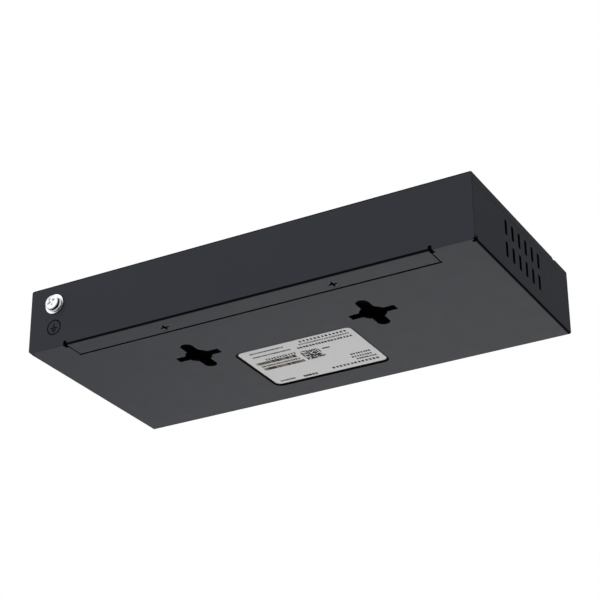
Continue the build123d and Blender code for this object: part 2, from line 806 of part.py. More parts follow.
with BuildPart() as inlet_spring:
    spring_front_y = panel_back_y + sheet
    spring_rear_y = spring_front_y + inlet_bore_depth - 2 * sheet
    spring_z = inlet_z - inlet_bore_radius - spring_channel
    with BuildSketch(Plane.YZ.offset(inlet_x)):
        with BuildLine():
            Polyline(
                (spring_rear_y, spring_z),
                (spring_rear_y, spring_z + spring_thickness),
                (spring_front_y + 3 * spring_channel, spring_z + spring_channel + spring_thickness),
                (spring_front_y + spring_channel, spring_z + spring_thickness),
                (spring_front_y + spring_channel, spring_z),
                (spring_front_y + 3 * spring_channel, spring_z + spring_channel),
                (spring_rear_y - spring_thickness, spring_z),
                close=True,
            )
        make_face()
    extrude(amount=spring_width / 2, both=True)
save(inlet_spring, "inlet_spring")


def build_leaded_package(place, size, lead_count, pitch):
    """Return a moulded package of size (x, y, z) at a place, with gull-wing leads along X."""
    width, depth, height = size
    x, y = place
    stand = lead_thickness
    with BuildPart() as package:
        with BuildSketch(Plane.XY.offset(board_top + stand)):
            with Locations((x, y)):
                Rectangle(width, depth)
        extrude(amount=height - stand)
        chamfer(package.edges().group_by(Axis.Z)[-1], stand)
        lift = min(lead_lift, height / 2)
        with BuildSketch(Plane.YZ.offset(x)):
            with BuildLine():
                Polyline(
                    (y + depth / 2, board_top + lift),
                    (y + depth / 2, board_top + lift - lead_thickness),
                    (y + depth / 2 + lead_reach - lead_thickness, board_top),
                    (y + depth / 2 + lead_reach, board_top),
                    (y + depth / 2 + lead_reach, board_top + lead_thickness),
                    (y + depth / 2 + lead_thickness, board_top + lift),
                    close=True,
                )
            make_face()
        lead = extrude(amount=lead_width / 2, both=True, mode=Mode.PRIVATE)
        for i in range(lead_count):
            lead_x = (i - (lead_count - 1) / 2) * pitch
            rear_lead = Pos(lead_x, 0, 0) * lead
            add(rear_lead)
            add(rear_lead.mirror(Plane.XZ.offset(-y)))
    return package


transformer_size = (transformer_width, transformer_depth, transformer_height)
transformer_places = [
    (jack_x + offset_x, transformer_y)
    for jack_x in jack_centres.values()
    for offset_x in (-port_pitch, port_pitch)
]
for number, place in enumerate(transformer_places, start=1):
    transformer = build_leaded_package(place, transformer_size, transformer_lead_count, lead_pitch)
    save(transformer, f"line_transformer_{number}")

# Switch chip with its thermal pad and heat sink
with BuildPart() as switch_chip:
    with BuildSketch(Plane.XY.offset(board_top)):
        with Locations((chip_x, chip_y)):
            Rectangle(chip_size, chip_size)
    extrude(amount=chip_height)
save(switch_chip, "switch_chip")

with BuildPart() as thermal_pad:
    with BuildSketch(Plane.XY.offset(board_top + chip_height)):
        with Locations((chip_x, chip_y)):
            Rectangle(pad_size, pad_size)
    extrude(amount=pad_thickness)
save(thermal_pad, "thermal_pad")

with BuildPart() as heat_sink:
    sink_z = board_top + chip_height + pad_thickness
    with BuildSketch(Plane.XZ.offset(-(chip_y + sink_size / 2))):
        with Locations((chip_x, sink_z)):
            Rectangle(sink_size, sink_base, align=(Align.CENTER, Align.MIN))
        with Locations((chip_x, sink_z + sink_height / 2)):
            with GridLocations((sink_size - fin_thickness) / (fin_count - 1), 0, fin_count, 1):
                Rectangle(fin_thickness, sink_height)
    extrude(amount=sink_size)
save(heat_sink, "heat_sink")

# Small packages beside the chip
small_size = (small_package_width, small_package_depth, small_package_height)
flash_chip = build_leaded_package(
    (flash_x, flash_y), small_size, small_package_lead_count, small_lead_pitch
)
save(flash_chip, "flash_chip")
regulator = build_leaded_package(
    (regulator_x, regulator_y), small_size, small_package_lead_count, small_lead_pitch
)
save(regulator, "power_regulator")

with BuildPart() as crystal:
    with BuildSketch(Plane.XY.offset(board_top)):
        with Locations((crystal_x, crystal_y)):
            Rectangle(crystal_length, crystal_width)
    extrude(amount=crystal_base)
    with BuildSketch(Plane.XY.offset(board_top + crystal_base)):
        with Locations((crystal_x, crystal_y)):
            Rectangle(crystal_length - 2 * crystal_rim, crystal_width - 2 * crystal_rim)
    extrude(amount=crystal_height - crystal_base)
save(crystal, "crystal")

# Electrolytic capacitors
for number, (x, y) in enumerate(capacitor_places, start=1):
    with BuildPart() as capacitor:
        with BuildSketch(Plane.XY.offset(board_top)):
            with Locations((x, y)):
                Circle(capacitor_radius)
        extrude(amount=capacitor_height)
        chamfer(capacitor.edges().group_by(Axis.Z)[-1], capacitor_chamfer)
    save(capacitor, f"filter_capacitor_{number}")

# Shielded inductors: a square core with its corners cut off
for number, (x, y) in enumerate(inductor_places, start=1):
    with BuildPart() as inductor:
        with BuildSketch(Plane.XY.offset(board_top)):
            with Locations((x, y)):
                Rectangle(inductor_size, inductor_size)
            chamfer(vertices(), inductor_corner)
        extrude(amount=inductor_height)
    save(inductor, f"power_inductor_{number}")

# Surge diode and fuse of the power input, chip capacitors and line resistor arrays
for name, (x, y), (width, depth, height) in (
    ("surge_diode", surge_place, diode_package),
    ("input_fuse", fuse_place, fuse_package),
):
    with BuildPart() as block:
        with BuildSketch(Plane.XY.offset(board_top)):
            with Locations((x, y)):
                Rectangle(width, depth)
        extrude(amount=height)
        chamfer(block.edges().group_by(Axis.Z)[-1], height / 6)
    save(block, name)

with BuildPart() as chip_capacitors:
    with BuildSketch(Plane.XY.offset(board_top)):
        with Locations((chip_x, chip_y + chip_size / 2 + 1.5 * chip_part[0])):
            with GridLocations(2 * chip_part[0], 0, chip_capacitor_count, 1):
                Rectangle(chip_part[1], chip_part[0])
        with Locations((flash_x, flash_y - 2 * small_package_depth)):
            Rectangle(chip_part[1], chip_part[0])
    extrude(amount=chip_part[2])
save(chip_capacitors, "chip_capacitors")

with BuildPart() as resistor_arrays:
    array_y = transformer_y + transformer_depth / 2 + lead_reach + array_part[1]
    with BuildSketch(Plane.XY.offset(board_top)):
        for jack_x in jack_centres.values():
            with Locations((jack_x, array_y)):
                with GridLocations(port_pitch, 0, port_count, 1):
                    Rectangle(array_part[0], array_part[1])
    extrude(amount=array_part[2])
save(resistor_arrays, "resistor_arrays")
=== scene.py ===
"""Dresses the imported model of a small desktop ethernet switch, seen from below and behind.

The CAD nodes carry the shapes. This script gives each of them its finish and adds what the CAD leaves out: the
pressed heads of the visible screws, the split lock washer, the print on the rating label and the earth sign.
All places are in millimetres in the CAD frame until a mesh is made, which is in metres.
"""

import logging
from dataclasses import dataclass, field
from enum import Enum
from typing import Any, Optional, Sequence, Union

import bpy
import numpy as np
from mathutils import Matrix, Vector

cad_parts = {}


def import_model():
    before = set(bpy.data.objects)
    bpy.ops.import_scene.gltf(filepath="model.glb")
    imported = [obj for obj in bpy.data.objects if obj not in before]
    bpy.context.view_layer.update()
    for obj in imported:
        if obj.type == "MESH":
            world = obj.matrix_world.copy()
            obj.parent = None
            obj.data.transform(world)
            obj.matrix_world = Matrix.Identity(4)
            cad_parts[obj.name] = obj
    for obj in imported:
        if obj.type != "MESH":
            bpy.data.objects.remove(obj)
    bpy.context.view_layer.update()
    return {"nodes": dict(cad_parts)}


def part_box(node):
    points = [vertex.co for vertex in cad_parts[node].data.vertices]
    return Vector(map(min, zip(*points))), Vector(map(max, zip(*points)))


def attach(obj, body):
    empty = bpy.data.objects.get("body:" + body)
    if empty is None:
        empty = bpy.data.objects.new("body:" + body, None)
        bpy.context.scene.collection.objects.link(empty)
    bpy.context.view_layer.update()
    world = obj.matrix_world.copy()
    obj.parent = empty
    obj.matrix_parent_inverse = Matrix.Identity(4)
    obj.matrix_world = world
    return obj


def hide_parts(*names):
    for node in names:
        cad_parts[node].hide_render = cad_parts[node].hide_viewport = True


LOG = logging.getLogger("switch")
Array = np.ndarray
Socket = bpy.types.NodeSocket
Tree = bpy.types.ShaderNodeTree
Pair = tuple[float, float]
Triple = tuple[float, float, float]
Marks = tuple[Array, Array]  # middles and half sizes

MM = 0.001
WHITE = "#ffffff"
CLOUD_OCTAVES, GLOSS_OCTAVES, GRAIN_OCTAVES, PEEL_OCTAVES = 3.0, 4.0, 2.0, 1.0
WAVE_RATE = 20.0  # radians that Blender's wave texture turns by in one unit of length
SHARP_DEGREES = 35.0  # faces that meet at more than this keep a sharp edge
EMBED = 0.005  # how far ink reaches into what it is printed on, so that no gap shows
CORNER_SHARE = 0.9  # largest corner radius as a share of the smaller half size


def linear(code: str, share: float = 1.0) -> tuple[float, float, float, float]:
    """Turn an sRGB hex colour into Blender's linear RGBA.

    A channel of up to 0.04045 is divided by 12.92. Above that 0.055 is added, the sum is divided by 1.055 and
    the result is raised to the power of 2.4.

    Args:
        code: Six hex digits with a leading #.
        share: Factor that darkens or lightens the linear colour.

    Returns:
        Linear red, green and blue, and an alpha of 1.
    """
    values = np.array([int(code[i : i + 2], 16) for i in (1, 3, 5)]) / 255
    low, high = values / 12.92, ((values + 0.055) / 1.055) ** 2.4
    red, green, blue = np.where(values <= 0.04045, low, high) * share
    return float(red), float(green), float(blue), 1.0


def add(
    tree: Tree, kind: str, *values: Any, out: Union[int, str] = 0, named: Optional[dict[str, Any]] = None,
    **settings: Any,
) -> Optional[Socket]:
    """Add one shader node with its settings, values and links.

    Args:
        tree: Node tree to add to.
        kind: Node type without its ShaderNode prefix, such as "TexNoise".
        *values: Values or output sockets for the node's inputs in use, in their order.
        out: The wanted output, by its name or by its place among the outputs in use.
        named: Values or output sockets for further inputs, by their names.
        **settings: Attributes of the node. They come first, because they decide which sockets are in use.

    Returns:
        The wanted output, or None where the node has no output.
    """
    made = tree.nodes.new("ShaderNode" + kind)
    for name, value in settings.items():
        setattr(made, name, value)
    pairs = list(zip([socket for socket in made.inputs if socket.enabled], values))
    pairs += [(made.inputs[name], value) for name, value in (named or {}).items()]
    for socket, value in pairs:
        if isinstance(value, Socket):
            tree.links.new(value, socket)
        else:
            socket.default_value = value
    if isinstance(out, str):
        return made.outputs[out]
    outputs = [socket for socket in made.outputs if socket.enabled]
    return outputs[out] if outputs else None


def fresh_tree(block: Union[bpy.types.Material, bpy.types.World]) -> Tree:
    """Give a material or a world an empty node tree.

    Args:
        block: The material or the world.

    Returns:
        Its tree.
    """
    block.use_nodes = True
    block.node_tree.nodes.clear()
    return block.node_tree


def show(name: str, data: bpy.types.ID) -> bpy.types.Object:
    """Make an object and put it in the scene.

    Args:
        name: Name of the object.
        data: Its mesh, lamp or camera.

    Returns:
        The object, at the origin.
    """
    made = bpy.data.objects.new(name, data)
    bpy.context.scene.collection.objects.link(made)
    return made


class Look(Enum):
    """How a finish catches the light."""

    PAINT = "paint"
    PLASTIC = "plastic"
    METAL = "metal"
    CLEAR = "clear"


@dataclass(frozen=True)
class Finish:
    """A finish: its colour, gloss and the size and depth of its grain.

    Attributes:
        name: Name of the material.
        colour: sRGB hex colour.
        look: How it catches the light.
        roughness: Mean roughness of the shader.
        spread: How far the roughness wanders either way.
        tone: Share by which the colour wanders, from 0 to 1.
        grain_mm: Size of one bump of the surface.
        grain_depth_mm: Height of the bumps.
        cloud_mm: Size of the patches in which the colour wanders; the roughness wanders in a third of it.
        ior: Index of refraction of what isn't metal.
        specular: Specular level of what isn't metal.
        transmission: Share of the light that passes into what is clear.
    """

    name: str
    colour: str
    look: Look
    roughness: float
    spread: float = 0.04
    tone: float = 0.06
    grain_mm: float = 0.4
    grain_depth_mm: float = 0.01
    cloud_mm: float = 8.0
    ior: float = 1.5
    specular: float = 0.5
    transmission: float = 0.4

    def base(self, tree: Tree, place: Socket) -> Socket:
        """Work out the colour, which a slow noise carries from a darker to a lighter one.

        Args:
            tree: Node tree to add to.
            place: Coordinates in metres.

        Returns:
            The colour.
        """
        cloud = add(tree, "TexNoise", place, 1 / (self.cloud_mm * MM), CLOUD_OCTAVES)
        low, high = linear(self.colour, 1 - self.tone), linear(self.colour, 1 + self.tone)
        return add(tree, "Mix", cloud, low, high, data_type="RGBA")

    def gloss(self, tree: Tree, place: Socket) -> Socket:
        """Return the roughness, which a noise carries from roughness less spread to roughness plus spread."""
        cloud = add(tree, "TexNoise", place, 1 / (self.cloud_mm / 3 * MM), GLOSS_OCTAVES)
        return add(tree, "MapRange", cloud, 0.0, 1.0, self.roughness - self.spread, self.roughness + self.spread)

    def height(self, tree: Tree, place: Socket) -> Socket:
        """Return the height of the surface's grain, from 0 to 1."""
        return add(tree, "TexNoise", place, 1 / (self.grain_mm * MM), GRAIN_OCTAVES)

    def within(self, tree: Tree, value: Socket, limits_mm: Pair) -> Socket:
        """Return 1 where a value in metres lies between two limits in millimetres, and 0 elsewhere."""
        low, high = limits_mm
        return add(tree, "Math", value, (low + high) / 2 * MM, (high - low) / 2 * MM, operation="COMPARE")

    def build(self) -> bpy.types.Material:
        """Make the material: the colour, the roughness and a bump, on Object coordinates in the CAD frame.

        Returns:
            The new material, with its nodes.
        """
        made = bpy.data.materials.new(self.name)
        tree = fresh_tree(made)
        place = add(tree, "TexCoord", out="Object")
        depth = self.grain_depth_mm * MM
        bump = add(tree, "Bump", named={"Height": self.height(tree, place), "Distance": depth, "Strength": 1.0})
        inputs = {
            "Base Color": self.base(tree, place),
            "Roughness": self.gloss(tree, place),
            "Normal": bump,
            "Metallic": 1.0 if self.look is Look.METAL else 0.0,
        }
        if self.look is not Look.METAL:
            inputs.update({"IOR": self.ior, "Specular IOR Level": self.specular})
        if self.look is Look.CLEAR:
            inputs["Transmission Weight"] = self.transmission
        add(tree, "OutputMaterial", add(tree, "BsdfPrincipled", named=inputs))
        made.diffuse_color = linear(self.colour)
        return made


@dataclass(frozen=True)
class PowderCoat(Finish):
    """Polyester powder coat on steel: satin, with a fine orange peel, and with shade painted nearly black and
    matte in its seams.

    Seams, where the shade is painted, are the case's long folds, the edge round the tab, and the thin walls of
    notches and openings.

    Attributes:
        peel_mm: Size of the slow waves of the orange peel.
        peel_weight: Height of these waves over the height of the fine grain.
        case_mm: Width, depth and height of the case.
        tab_mm: Width of the tab and how far it reaches from the rear face, both to the middle of the gap round it.
        tab_edge_mm: Width of the painted shade line in front of the tab.
        tab_end_narrowing: How many times narrower the line is at the tab's ends.
        tab_rise_mm: Heights above the underside between which the line runs.
        shaded_mm: Boxes that light hardly reaches: their limits inwards from the nearer side, inwards from the
            rear and upwards from the underside.
        fold_mm: Width of the painted shade line over a fold at the floor.
        roof_fold_mm: Width of the painted shade line over a fold of the roof.
        fold_core: Share of that width that is fully dark.
        painted_shade_tone: Share of the colour that is left where shade is painted in a seam.
    """

    peel_mm: float = 1.6
    peel_weight: float = 3.0
    case_mm: Triple = (190.0, 88.8, 27.5)
    tab_mm: Pair = (154.5, 10.25)
    tab_edge_mm: float = 1.1
    tab_end_narrowing: float = 2.0
    tab_rise_mm: Pair = (-1.0, 1.2)
    # Painted shade: the paint is darkened inside these boxes
    shaded_mm: tuple[tuple[Pair, Pair, Pair], ...] = (
        ((1.4, 100.0), (1.3, 87.5), (0.06, 1.06)),  # openings of the floor and the label's recess
        ((0.12, 3.0), (2.0, 87.0), (3.0, 24.0)),  # behind the vents
        ((16.3, 18.1), (0.05, 2.7), (-0.1, 1.9)),  # relief notches at the tab's ends
        ((0.05, 2.0), (0.05, 2.6), (0.05, 2.0)),  # relief notches at the rear corners
    )
    fold_mm: float = 0.92
    roof_fold_mm: float = 1.1
    fold_core: float = 0.8
    painted_shade_tone: float = 0.04

    def base(self, tree: Tree, place: Socket) -> Socket:
        """Return the paint's colour, with shade painted nearly black in the seams."""
        # Painted shade: in the seams the colour falls to a small share of the paint's
        dark, paint = linear(self.colour, self.painted_shade_tone), super().base(tree, place)
        return add(tree, "Mix", self.plain(tree, place), dark, paint, data_type="RGBA")

    def gloss(self, tree: Tree, place: Socket) -> Socket:
        """Return the roughness, fully matte in the seams where shade is painted."""
        less = add(tree, "Math", super().gloss(tree, place), 1.0, operation="SUBTRACT")
        return add(tree, "Math", self.plain(tree, place), less, 1.0, operation="MULTIPLY_ADD")

    def height(self, tree: Tree, place: Socket) -> Socket:
        """Return peel_weight times slow waves of orange peel, plus the finer grain on top of them."""
        peel = add(tree, "TexNoise", place, 1 / (self.peel_mm * MM), PEEL_OCTAVES)
        return add(tree, "Math", peel, self.peel_weight, super().height(tree, place), operation="MULTIPLY_ADD")

    def plain(self, tree: Tree, place: Socket) -> Socket:
        """Work out where the paint is plain, with no painted shade: 1 less the greatest of the masks of all seams.

        Args:
            tree: Node tree to add to.
            place: Coordinates in metres.

        Returns:
            1 on plain paint and 0 in the seams, where shade is painted.
        """
        width, depth, height = (value * MM for value in self.case_mm)
        x, y, z = add(tree, "SeparateXYZ", place).node.outputs
        across = add(tree, "Math", x, operation="ABSOLUTE")
        side = add(tree, "Math", width / 2, across, operation="SUBTRACT")
        rear = add(tree, "Math", depth / 2, y, operation="SUBTRACT")
        top = add(tree, "Math", height, z, operation="SUBTRACT")
        seams = self.fold(tree, (side, rear, top), z, across)
        masks = [self.tab_edge(tree, across, rear, z)]
        for limits in self.shaded_mm:
            in_side, in_rear, in_height = (self.within(tree, v, pair) for v, pair in zip((side, rear, z), limits))
            in_plan = add(tree, "Math", in_side, in_rear, operation="MULTIPLY")
            masks.append(add(tree, "Math", in_plan, in_height, operation="MULTIPLY"))
        for mask in masks:
            seams = add(tree, "Math", seams, mask, operation="MAXIMUM")
        return add(tree, "Math", 1.0, seams, operation="SUBTRACT")

    def tab_edge(self, tree: Tree, across: Socket, rear: Socket, z: Socket) -> Socket:
        """Work out the painted shade line round the tab.

        The greater of the distances outwards from the tab's ends and its front is near 0 along the line.

        Args:
            tree: Node tree to add to.
            across: Distance from the case's middle along X.
            rear: Distance inwards from the rear.
            z: Height above the underside.

        Returns:
            1 on the line and 0 elsewhere.
        """
        width, reach = (value * MM for value in self.tab_mm)
        end = add(tree, "Math", across, width / 2, operation="SUBTRACT")
        end = add(tree, "Math", end, self.tab_end_narrowing, operation="MULTIPLY")
        front = add(tree, "Math", rear, reach, operation="SUBTRACT")
        outwards = add(tree, "Math", end, front, operation="MAXIMUM")
        line = self.within(tree, outwards, (-self.tab_edge_mm / 2, self.tab_edge_mm / 2))
        return add(tree, "Math", line, self.within(tree, z, self.tab_rise_mm), operation="MULTIPLY")

    def fold(self, tree: Tree, inwards: tuple[Socket, Socket, Socket], z: Socket, across: Socket) -> Socket:
        """Work out the painted shade along the case's long folds.

        A point is on a fold where it is near two of the case's faces at once. The distances inwards from the two
        faces are added, and the sum is under fold_mm. Beside the tab a whole metre is added to the rear foot's.

        Args:
            tree: Node tree to add to.
            inwards: Distances inwards from the nearer side, the rear and the top.
            z: Height above the underside.
            across: Distance from the case's middle along X.

        Returns:
            1 on the folds, where shade is painted, and 0 on the faces.
        """
        side, rear, top = inwards
        beside_tab = add(tree, "Math", across, self.tab_mm[0] / 2 * MM, operation="GREATER_THAN")
        rear_foot = add(tree, "Math", rear, z, operation="ADD")
        rear_foot = add(tree, "Math", rear_foot, beside_tab, operation="ADD")
        side_foot = add(tree, "Math", side, z, operation="ADD")
        nearest = add(tree, "Math", rear_foot, side_foot, operation="MINIMUM")
        roof = add(tree, "Math", add(tree, "Math", side, rear, operation="MINIMUM"), top, operation="ADD")
        roof = add(tree, "Math", roof, self.fold_mm / self.roof_fold_mm, operation="MULTIPLY")
        nearest = add(tree, "Math", nearest, roof, operation="MINIMUM")
        core, edge = self.fold_core * self.fold_mm * MM, self.fold_mm * MM
        face = add(tree, "MapRange", nearest, core, edge, interpolation_type="SMOOTHSTEP")
        return add(tree, "Math", 1.0, face, operation="SUBTRACT")


@dataclass(frozen=True)
class Oxide(Finish):
    """Black oxide on a flush screw, with shade painted dead black down in its recess.

    Attributes:
        face_mm: Heights above the underside between which the face passes into the recess.
        recess_shade_colour: sRGB hex colour of the shade painted down in the recess.
    """

    face_mm: Pair = (0.1, 0.35)
    recess_shade_colour: str = "#040405"

    def base(self, tree: Tree, place: Socket) -> Socket:
        """Work out the oxide's colour, which a smooth step over face_mm carries to painted black shade with the
        depth.

        Args:
            tree: Node tree to add to.
            place: Coordinates in metres.

        Returns:
            The colour.
        """
        z = add(tree, "SeparateXYZ", place, out="Z")
        low, high = (value * MM for value in self.face_mm)
        # Painted shade: the colour goes black down in the recess
        recess_shade = add(tree, "MapRange", z, low, high, interpolation_type="SMOOTHSTEP")
        return add(tree, "Mix", recess_shade, super().base(tree, place), linear(self.recess_shade_colour), data_type="RGBA")


@dataclass(frozen=True)
class Turned(Finish):
    """Plated metal turned on a lathe: fine rings round an axis, and a dark reflection painted along a screw head's
    flank.

    Attributes:
        centre_mm: A point on the axis.
        turn: Rotation that lays the axis on Z.
        ring_mm: Spacing of the rings.
        flank_mm: Low and high Y of the flank of the screw's head.
        flank_reflection_colour: sRGB hex colour of the dark reflection painted along that flank.
    """

    centre_mm: Triple = (0.0, 0.0, 0.0)
    turn: Triple = (0.0, 0.0, 0.0)
    ring_mm: float = 0.12
    flank_mm: Pair = (0.0, 0.1)
    flank_reflection_colour: str = "#0c0c0d"

    def base(self, tree: Tree, place: Socket) -> Socket:
        """Return the plate's colour, with a nearly black reflection of the dark wall painted along the head's
        flank.
        """
        # Painted reflection: the flank is coloured nearly black as if it mirrored the dark wall
        flank = self.within(tree, add(tree, "SeparateXYZ", place, out="Y"), self.flank_mm)
        return add(tree, "Mix", flank, super().base(tree, place), linear(self.flank_reflection_colour), data_type="RGBA")

    def height(self, tree: Tree, place: Socket) -> Socket:
        """Work out rings round the axis: a sine of the distance from it, times the grain.

        Args:
            tree: Node tree to add to.
            place: Coordinates in metres.

        Returns:
            The height, from 0 to 1.
        """
        centre = tuple(value * MM for value in self.centre_mm)
        moved = add(tree, "VectorMath", place, centre, operation="SUBTRACT")
        turned = add(tree, "VectorRotate", moved, named={"Rotation": self.turn}, rotation_type="EULER_XYZ")
        scale = 1 / (WAVE_RATE * self.ring_mm * MM) * 2 * np.pi
        rings = add(tree, "TexWave", turned, scale, out=1, wave_type="RINGS", rings_direction="Z")
        return add(tree, "Math", rings, super().height(tree, place), operation="MULTIPLY")


@dataclass(frozen=True)
class Drawn(Finish):
    """Rolled or extruded metal with fine lines along one axis.

    Attributes:
        line_mm: Width of the lines.
        along: Axis that the lines run along, 0, 1 or 2.
        stretch: How much longer than wide the lines are.
    """

    line_mm: float = 0.15
    along: int = 0
    stretch: float = 40.0

    def height(self, tree: Tree, place: Socket) -> Socket:
        """Work out a noise drawn out along the axis, so that it reads as lines.

        Args:
            tree: Node tree to add to.
            place: Coordinates in metres.

        Returns:
            The height, from 0 to 1.
        """
        scale = [1 / (self.line_mm * MM)] * 3
        scale[self.along] /= self.stretch
        drawn = add(tree, "VectorMath", place, tuple(scale), operation="MULTIPLY")
        return add(tree, "TexNoise", drawn, 1.0, GRAIN_OCTAVES)


@dataclass(frozen=True)
class Package(Finish):
    """A moulded chip package with tinned leads: the leads are what lies outside the body along Y.

    Attributes:
        centre_y_mm: Middle of the package along Y.
        half_depth_mm: Half the body's depth.
        margin_mm: How far outside the body the tin begins.
        lead_colour: sRGB hex colour of the tinned leads.
        lead_roughness: Roughness of the leads.
        spot_mm: Place along X and Y of the moulded dot that marks the first lead.
        spot_radius_mm: Radius of that dot.
        spot_colour: sRGB hex colour of that dot.
    """

    centre_y_mm: float = 0.0
    half_depth_mm: float = 100.0
    margin_mm: float = 0.01
    lead_colour: str = "#c9c8c4"
    lead_roughness: float = 0.3
    spot_mm: Pair = (0.0, 0.0)
    spot_radius_mm: float = 0.5
    spot_colour: str = "#55565a"

    def leads(self, tree: Tree, place: Socket) -> Socket:
        """Work out where the leads are: where the distance from the middle along Y passes half the depth.

        Args:
            tree: Node tree to add to.
            place: Coordinates in metres.

        Returns:
            1 on the leads and 0 on the body.
        """
        y = add(tree, "SeparateXYZ", place, out="Y")
        away = add(tree, "Math", y, self.centre_y_mm * MM, operation="SUBTRACT")
        away = add(tree, "Math", away, operation="ABSOLUTE")
        return add(tree, "Math", away, (self.half_depth_mm + self.margin_mm) * MM, operation="GREATER_THAN")

    def base(self, tree: Tree, place: Socket) -> Socket:
        """Work out the epoxy's colour, the leads' tin and the paler dot.

        The dot is where the distance from spot_mm, seen from above, is under spot_radius_mm.

        Args:
            tree: Node tree to add to.
            place: Coordinates in metres.

        Returns:
            The colour.
        """
        flat = add(tree, "VectorMath", place, (1, 1, 0), operation="MULTIPLY")
        x, y = self.spot_mm
        away = add(tree, "VectorMath", flat, (x * MM, y * MM, 0), operation="DISTANCE")
        dot = add(tree, "Math", away, self.spot_radius_mm * MM, operation="LESS_THAN")
        body = add(tree, "Mix", dot, super().base(tree, place), linear(self.spot_colour), data_type="RGBA")
        return add(tree, "Mix", self.leads(tree, place), body, linear(self.lead_colour), data_type="RGBA")

    def gloss(self, tree: Tree, place: Socket) -> Socket:
        """Return the epoxy's roughness, and a smoother value on the leads."""
        body = super().gloss(tree, place)
        return add(tree, "Mix", self.leads(tree, place), body, self.lead_roughness, data_type="FLOAT")


@dataclass(frozen=True)
class Laminate(Finish):
    """Solder mask over copper on a glass-cloth board: raised tracks at 45 and 90 degrees, and bare cloth on the
    cut edges.

    Attributes:
        track_mm: Pitch of the tracks.
        cell_tracks: Pitches of tracks that one cell of the pattern takes.
        cell_wander: How far the cells leave a square grid, from 0 to 1.
        band: Width of a band of copper or of bare board, as a share of a cell.
        slope: Shares of a cell between which the mask climbs on to the copper.
        copper_colour: sRGB hex colour of the mask over copper.
        edge_colour: sRGB hex colour of the bare cloth on the cut edges.
        edge_margin_mm: How far inside the two faces the bare cloth begins.
        top_mm: Height of the board's top face.
        thickness_mm: Thickness of the board.
    """

    track_mm: float = 1.27
    cell_tracks: float = 4.0
    cell_wander: float = 0.7
    band: float = 0.09
    slope: Pair = (0.03, 0.045)
    copper_colour: str = "#2b6b3a"
    edge_colour: str = "#9c9a5e"
    edge_margin_mm: float = 0.02
    top_mm: float = 8.6
    thickness_mm: float = 1.6

    def height(self, tree: Tree, place: Socket) -> Socket:
        """Work out the copper's step under the mask: bands of equal distance from the middles of square cells.

        Args:
            tree: Node tree to add to.
            place: Coordinates in metres.

        Returns:
            1 on the copper and 0 beside it.
        """
        scale = 1 / (self.cell_tracks * self.track_mm * MM)
        cells = add(tree, "TexVoronoi", place, scale, named={"Randomness": self.cell_wander}, distance="CHEBYCHEV",
                    feature="F1")
        bands = add(tree, "Math", cells, self.band, operation="PINGPONG")
        return add(tree, "MapRange", bands, *self.slope, interpolation_type="SMOOTHSTEP")

    def base(self, tree: Tree, place: Socket) -> Socket:
        """Work out the mask's green, lighter over copper, and the cloth's straw colour on the cut edges.

        The cut edges are where the height lies between the two faces, less edge_margin_mm at each.

        Args:
            tree: Node tree to add to.
            place: Coordinates in metres.

        Returns:
            The colour.
        """
        mask = super().base(tree, place)
        copper = add(tree, "Mix", self.height(tree, place), mask, linear(self.copper_colour), data_type="RGBA")
        limits = (self.top_mm - self.thickness_mm + self.edge_margin_mm, self.top_mm - self.edge_margin_mm)
        edge = self.within(tree, add(tree, "SeparateXYZ", place, out="Z"), limits)
        return add(tree, "Mix", edge, copper, linear(self.edge_colour), data_type="RGBA")


@dataclass(frozen=True)
class Sleeved(Finish):
    """An aluminium can in a shrunk plastic sleeve, whose bare top shows inside the sleeve's rim.

    Attributes:
        centre_mm: Axis of the can along X and Y.
        rim_radius_mm: Radius of the bare top.
        top_mm: Height of the top face.
        top_depth_mm: Depth under the top face that still counts as the top.
        bare_colour: sRGB hex colour of the bare top.
        stripe_turn: Direction of the pale polarity stripe, in radians from +X.
        stripe_from_mm: Distance from the axis, in that direction, at which the stripe begins.
        stripe_colour: sRGB hex colour of the stripe.
    """

    centre_mm: Pair = (0.0, 0.0)
    rim_radius_mm: float = 3.3
    top_mm: float = 20.6
    top_depth_mm: float = 0.1
    bare_colour: str = "#d6d7d9"
    stripe_turn: float = -1.2
    stripe_from_mm: float = 3.5
    stripe_colour: str = "#8d98a5"

    def base(self, tree: Tree, place: Socket) -> Socket:
        """Work out the sleeve's colour with its stripe, and bare aluminium on top.

        The top is bare within rim_radius_mm of the axis. The stripe is where the distance from the axis, measured
        along stripe_turn, passes stripe_from_mm.

        Args:
            tree: Node tree to add to.
            place: Coordinates in metres.

        Returns:
            The colour.
        """
        x, y = self.centre_mm
        moved = add(tree, "VectorMath", place, (x * MM, y * MM, 0), operation="SUBTRACT")
        flat = add(tree, "VectorMath", moved, (1, 1, 0), operation="MULTIPLY")
        facing = (float(np.cos(self.stripe_turn)), float(np.sin(self.stripe_turn)), 0.0)
        toward = add(tree, "VectorMath", flat, facing, operation="DOT_PRODUCT")
        stripe = add(tree, "Math", toward, self.stripe_from_mm * MM, operation="GREATER_THAN")
        sleeve = add(tree, "Mix", stripe, super().base(tree, place), linear(self.stripe_colour), data_type="RGBA")
        z = add(tree, "SeparateXYZ", place, out="Z")
        high = add(tree, "Math", z, (self.top_mm - self.top_depth_mm) * MM, operation="GREATER_THAN")
        away = add(tree, "VectorMath", flat, operation="LENGTH")
        inside = add(tree, "Math", away, self.rim_radius_mm * MM, operation="LESS_THAN")
        bare = add(tree, "Math", high, inside, operation="MULTIPLY")
        return add(tree, "Mix", bare, sleeve, linear(self.bare_colour), data_type="RGBA")


# Finishes of the case

# Satin polyester powder coat, a bluish charcoal: a soft sheen with no clear reflection, and a fine peel, with
# shade painted into its seams
CASE_PAINT = PowderCoat(
    "powder_coated_steel", "#3b3d42", Look.PAINT, roughness=0.55, spread=0.05, tone=0.05, grain_mm=0.35,
    grain_depth_mm=0.004, cloud_mm=22.0, specular=0.06,
)
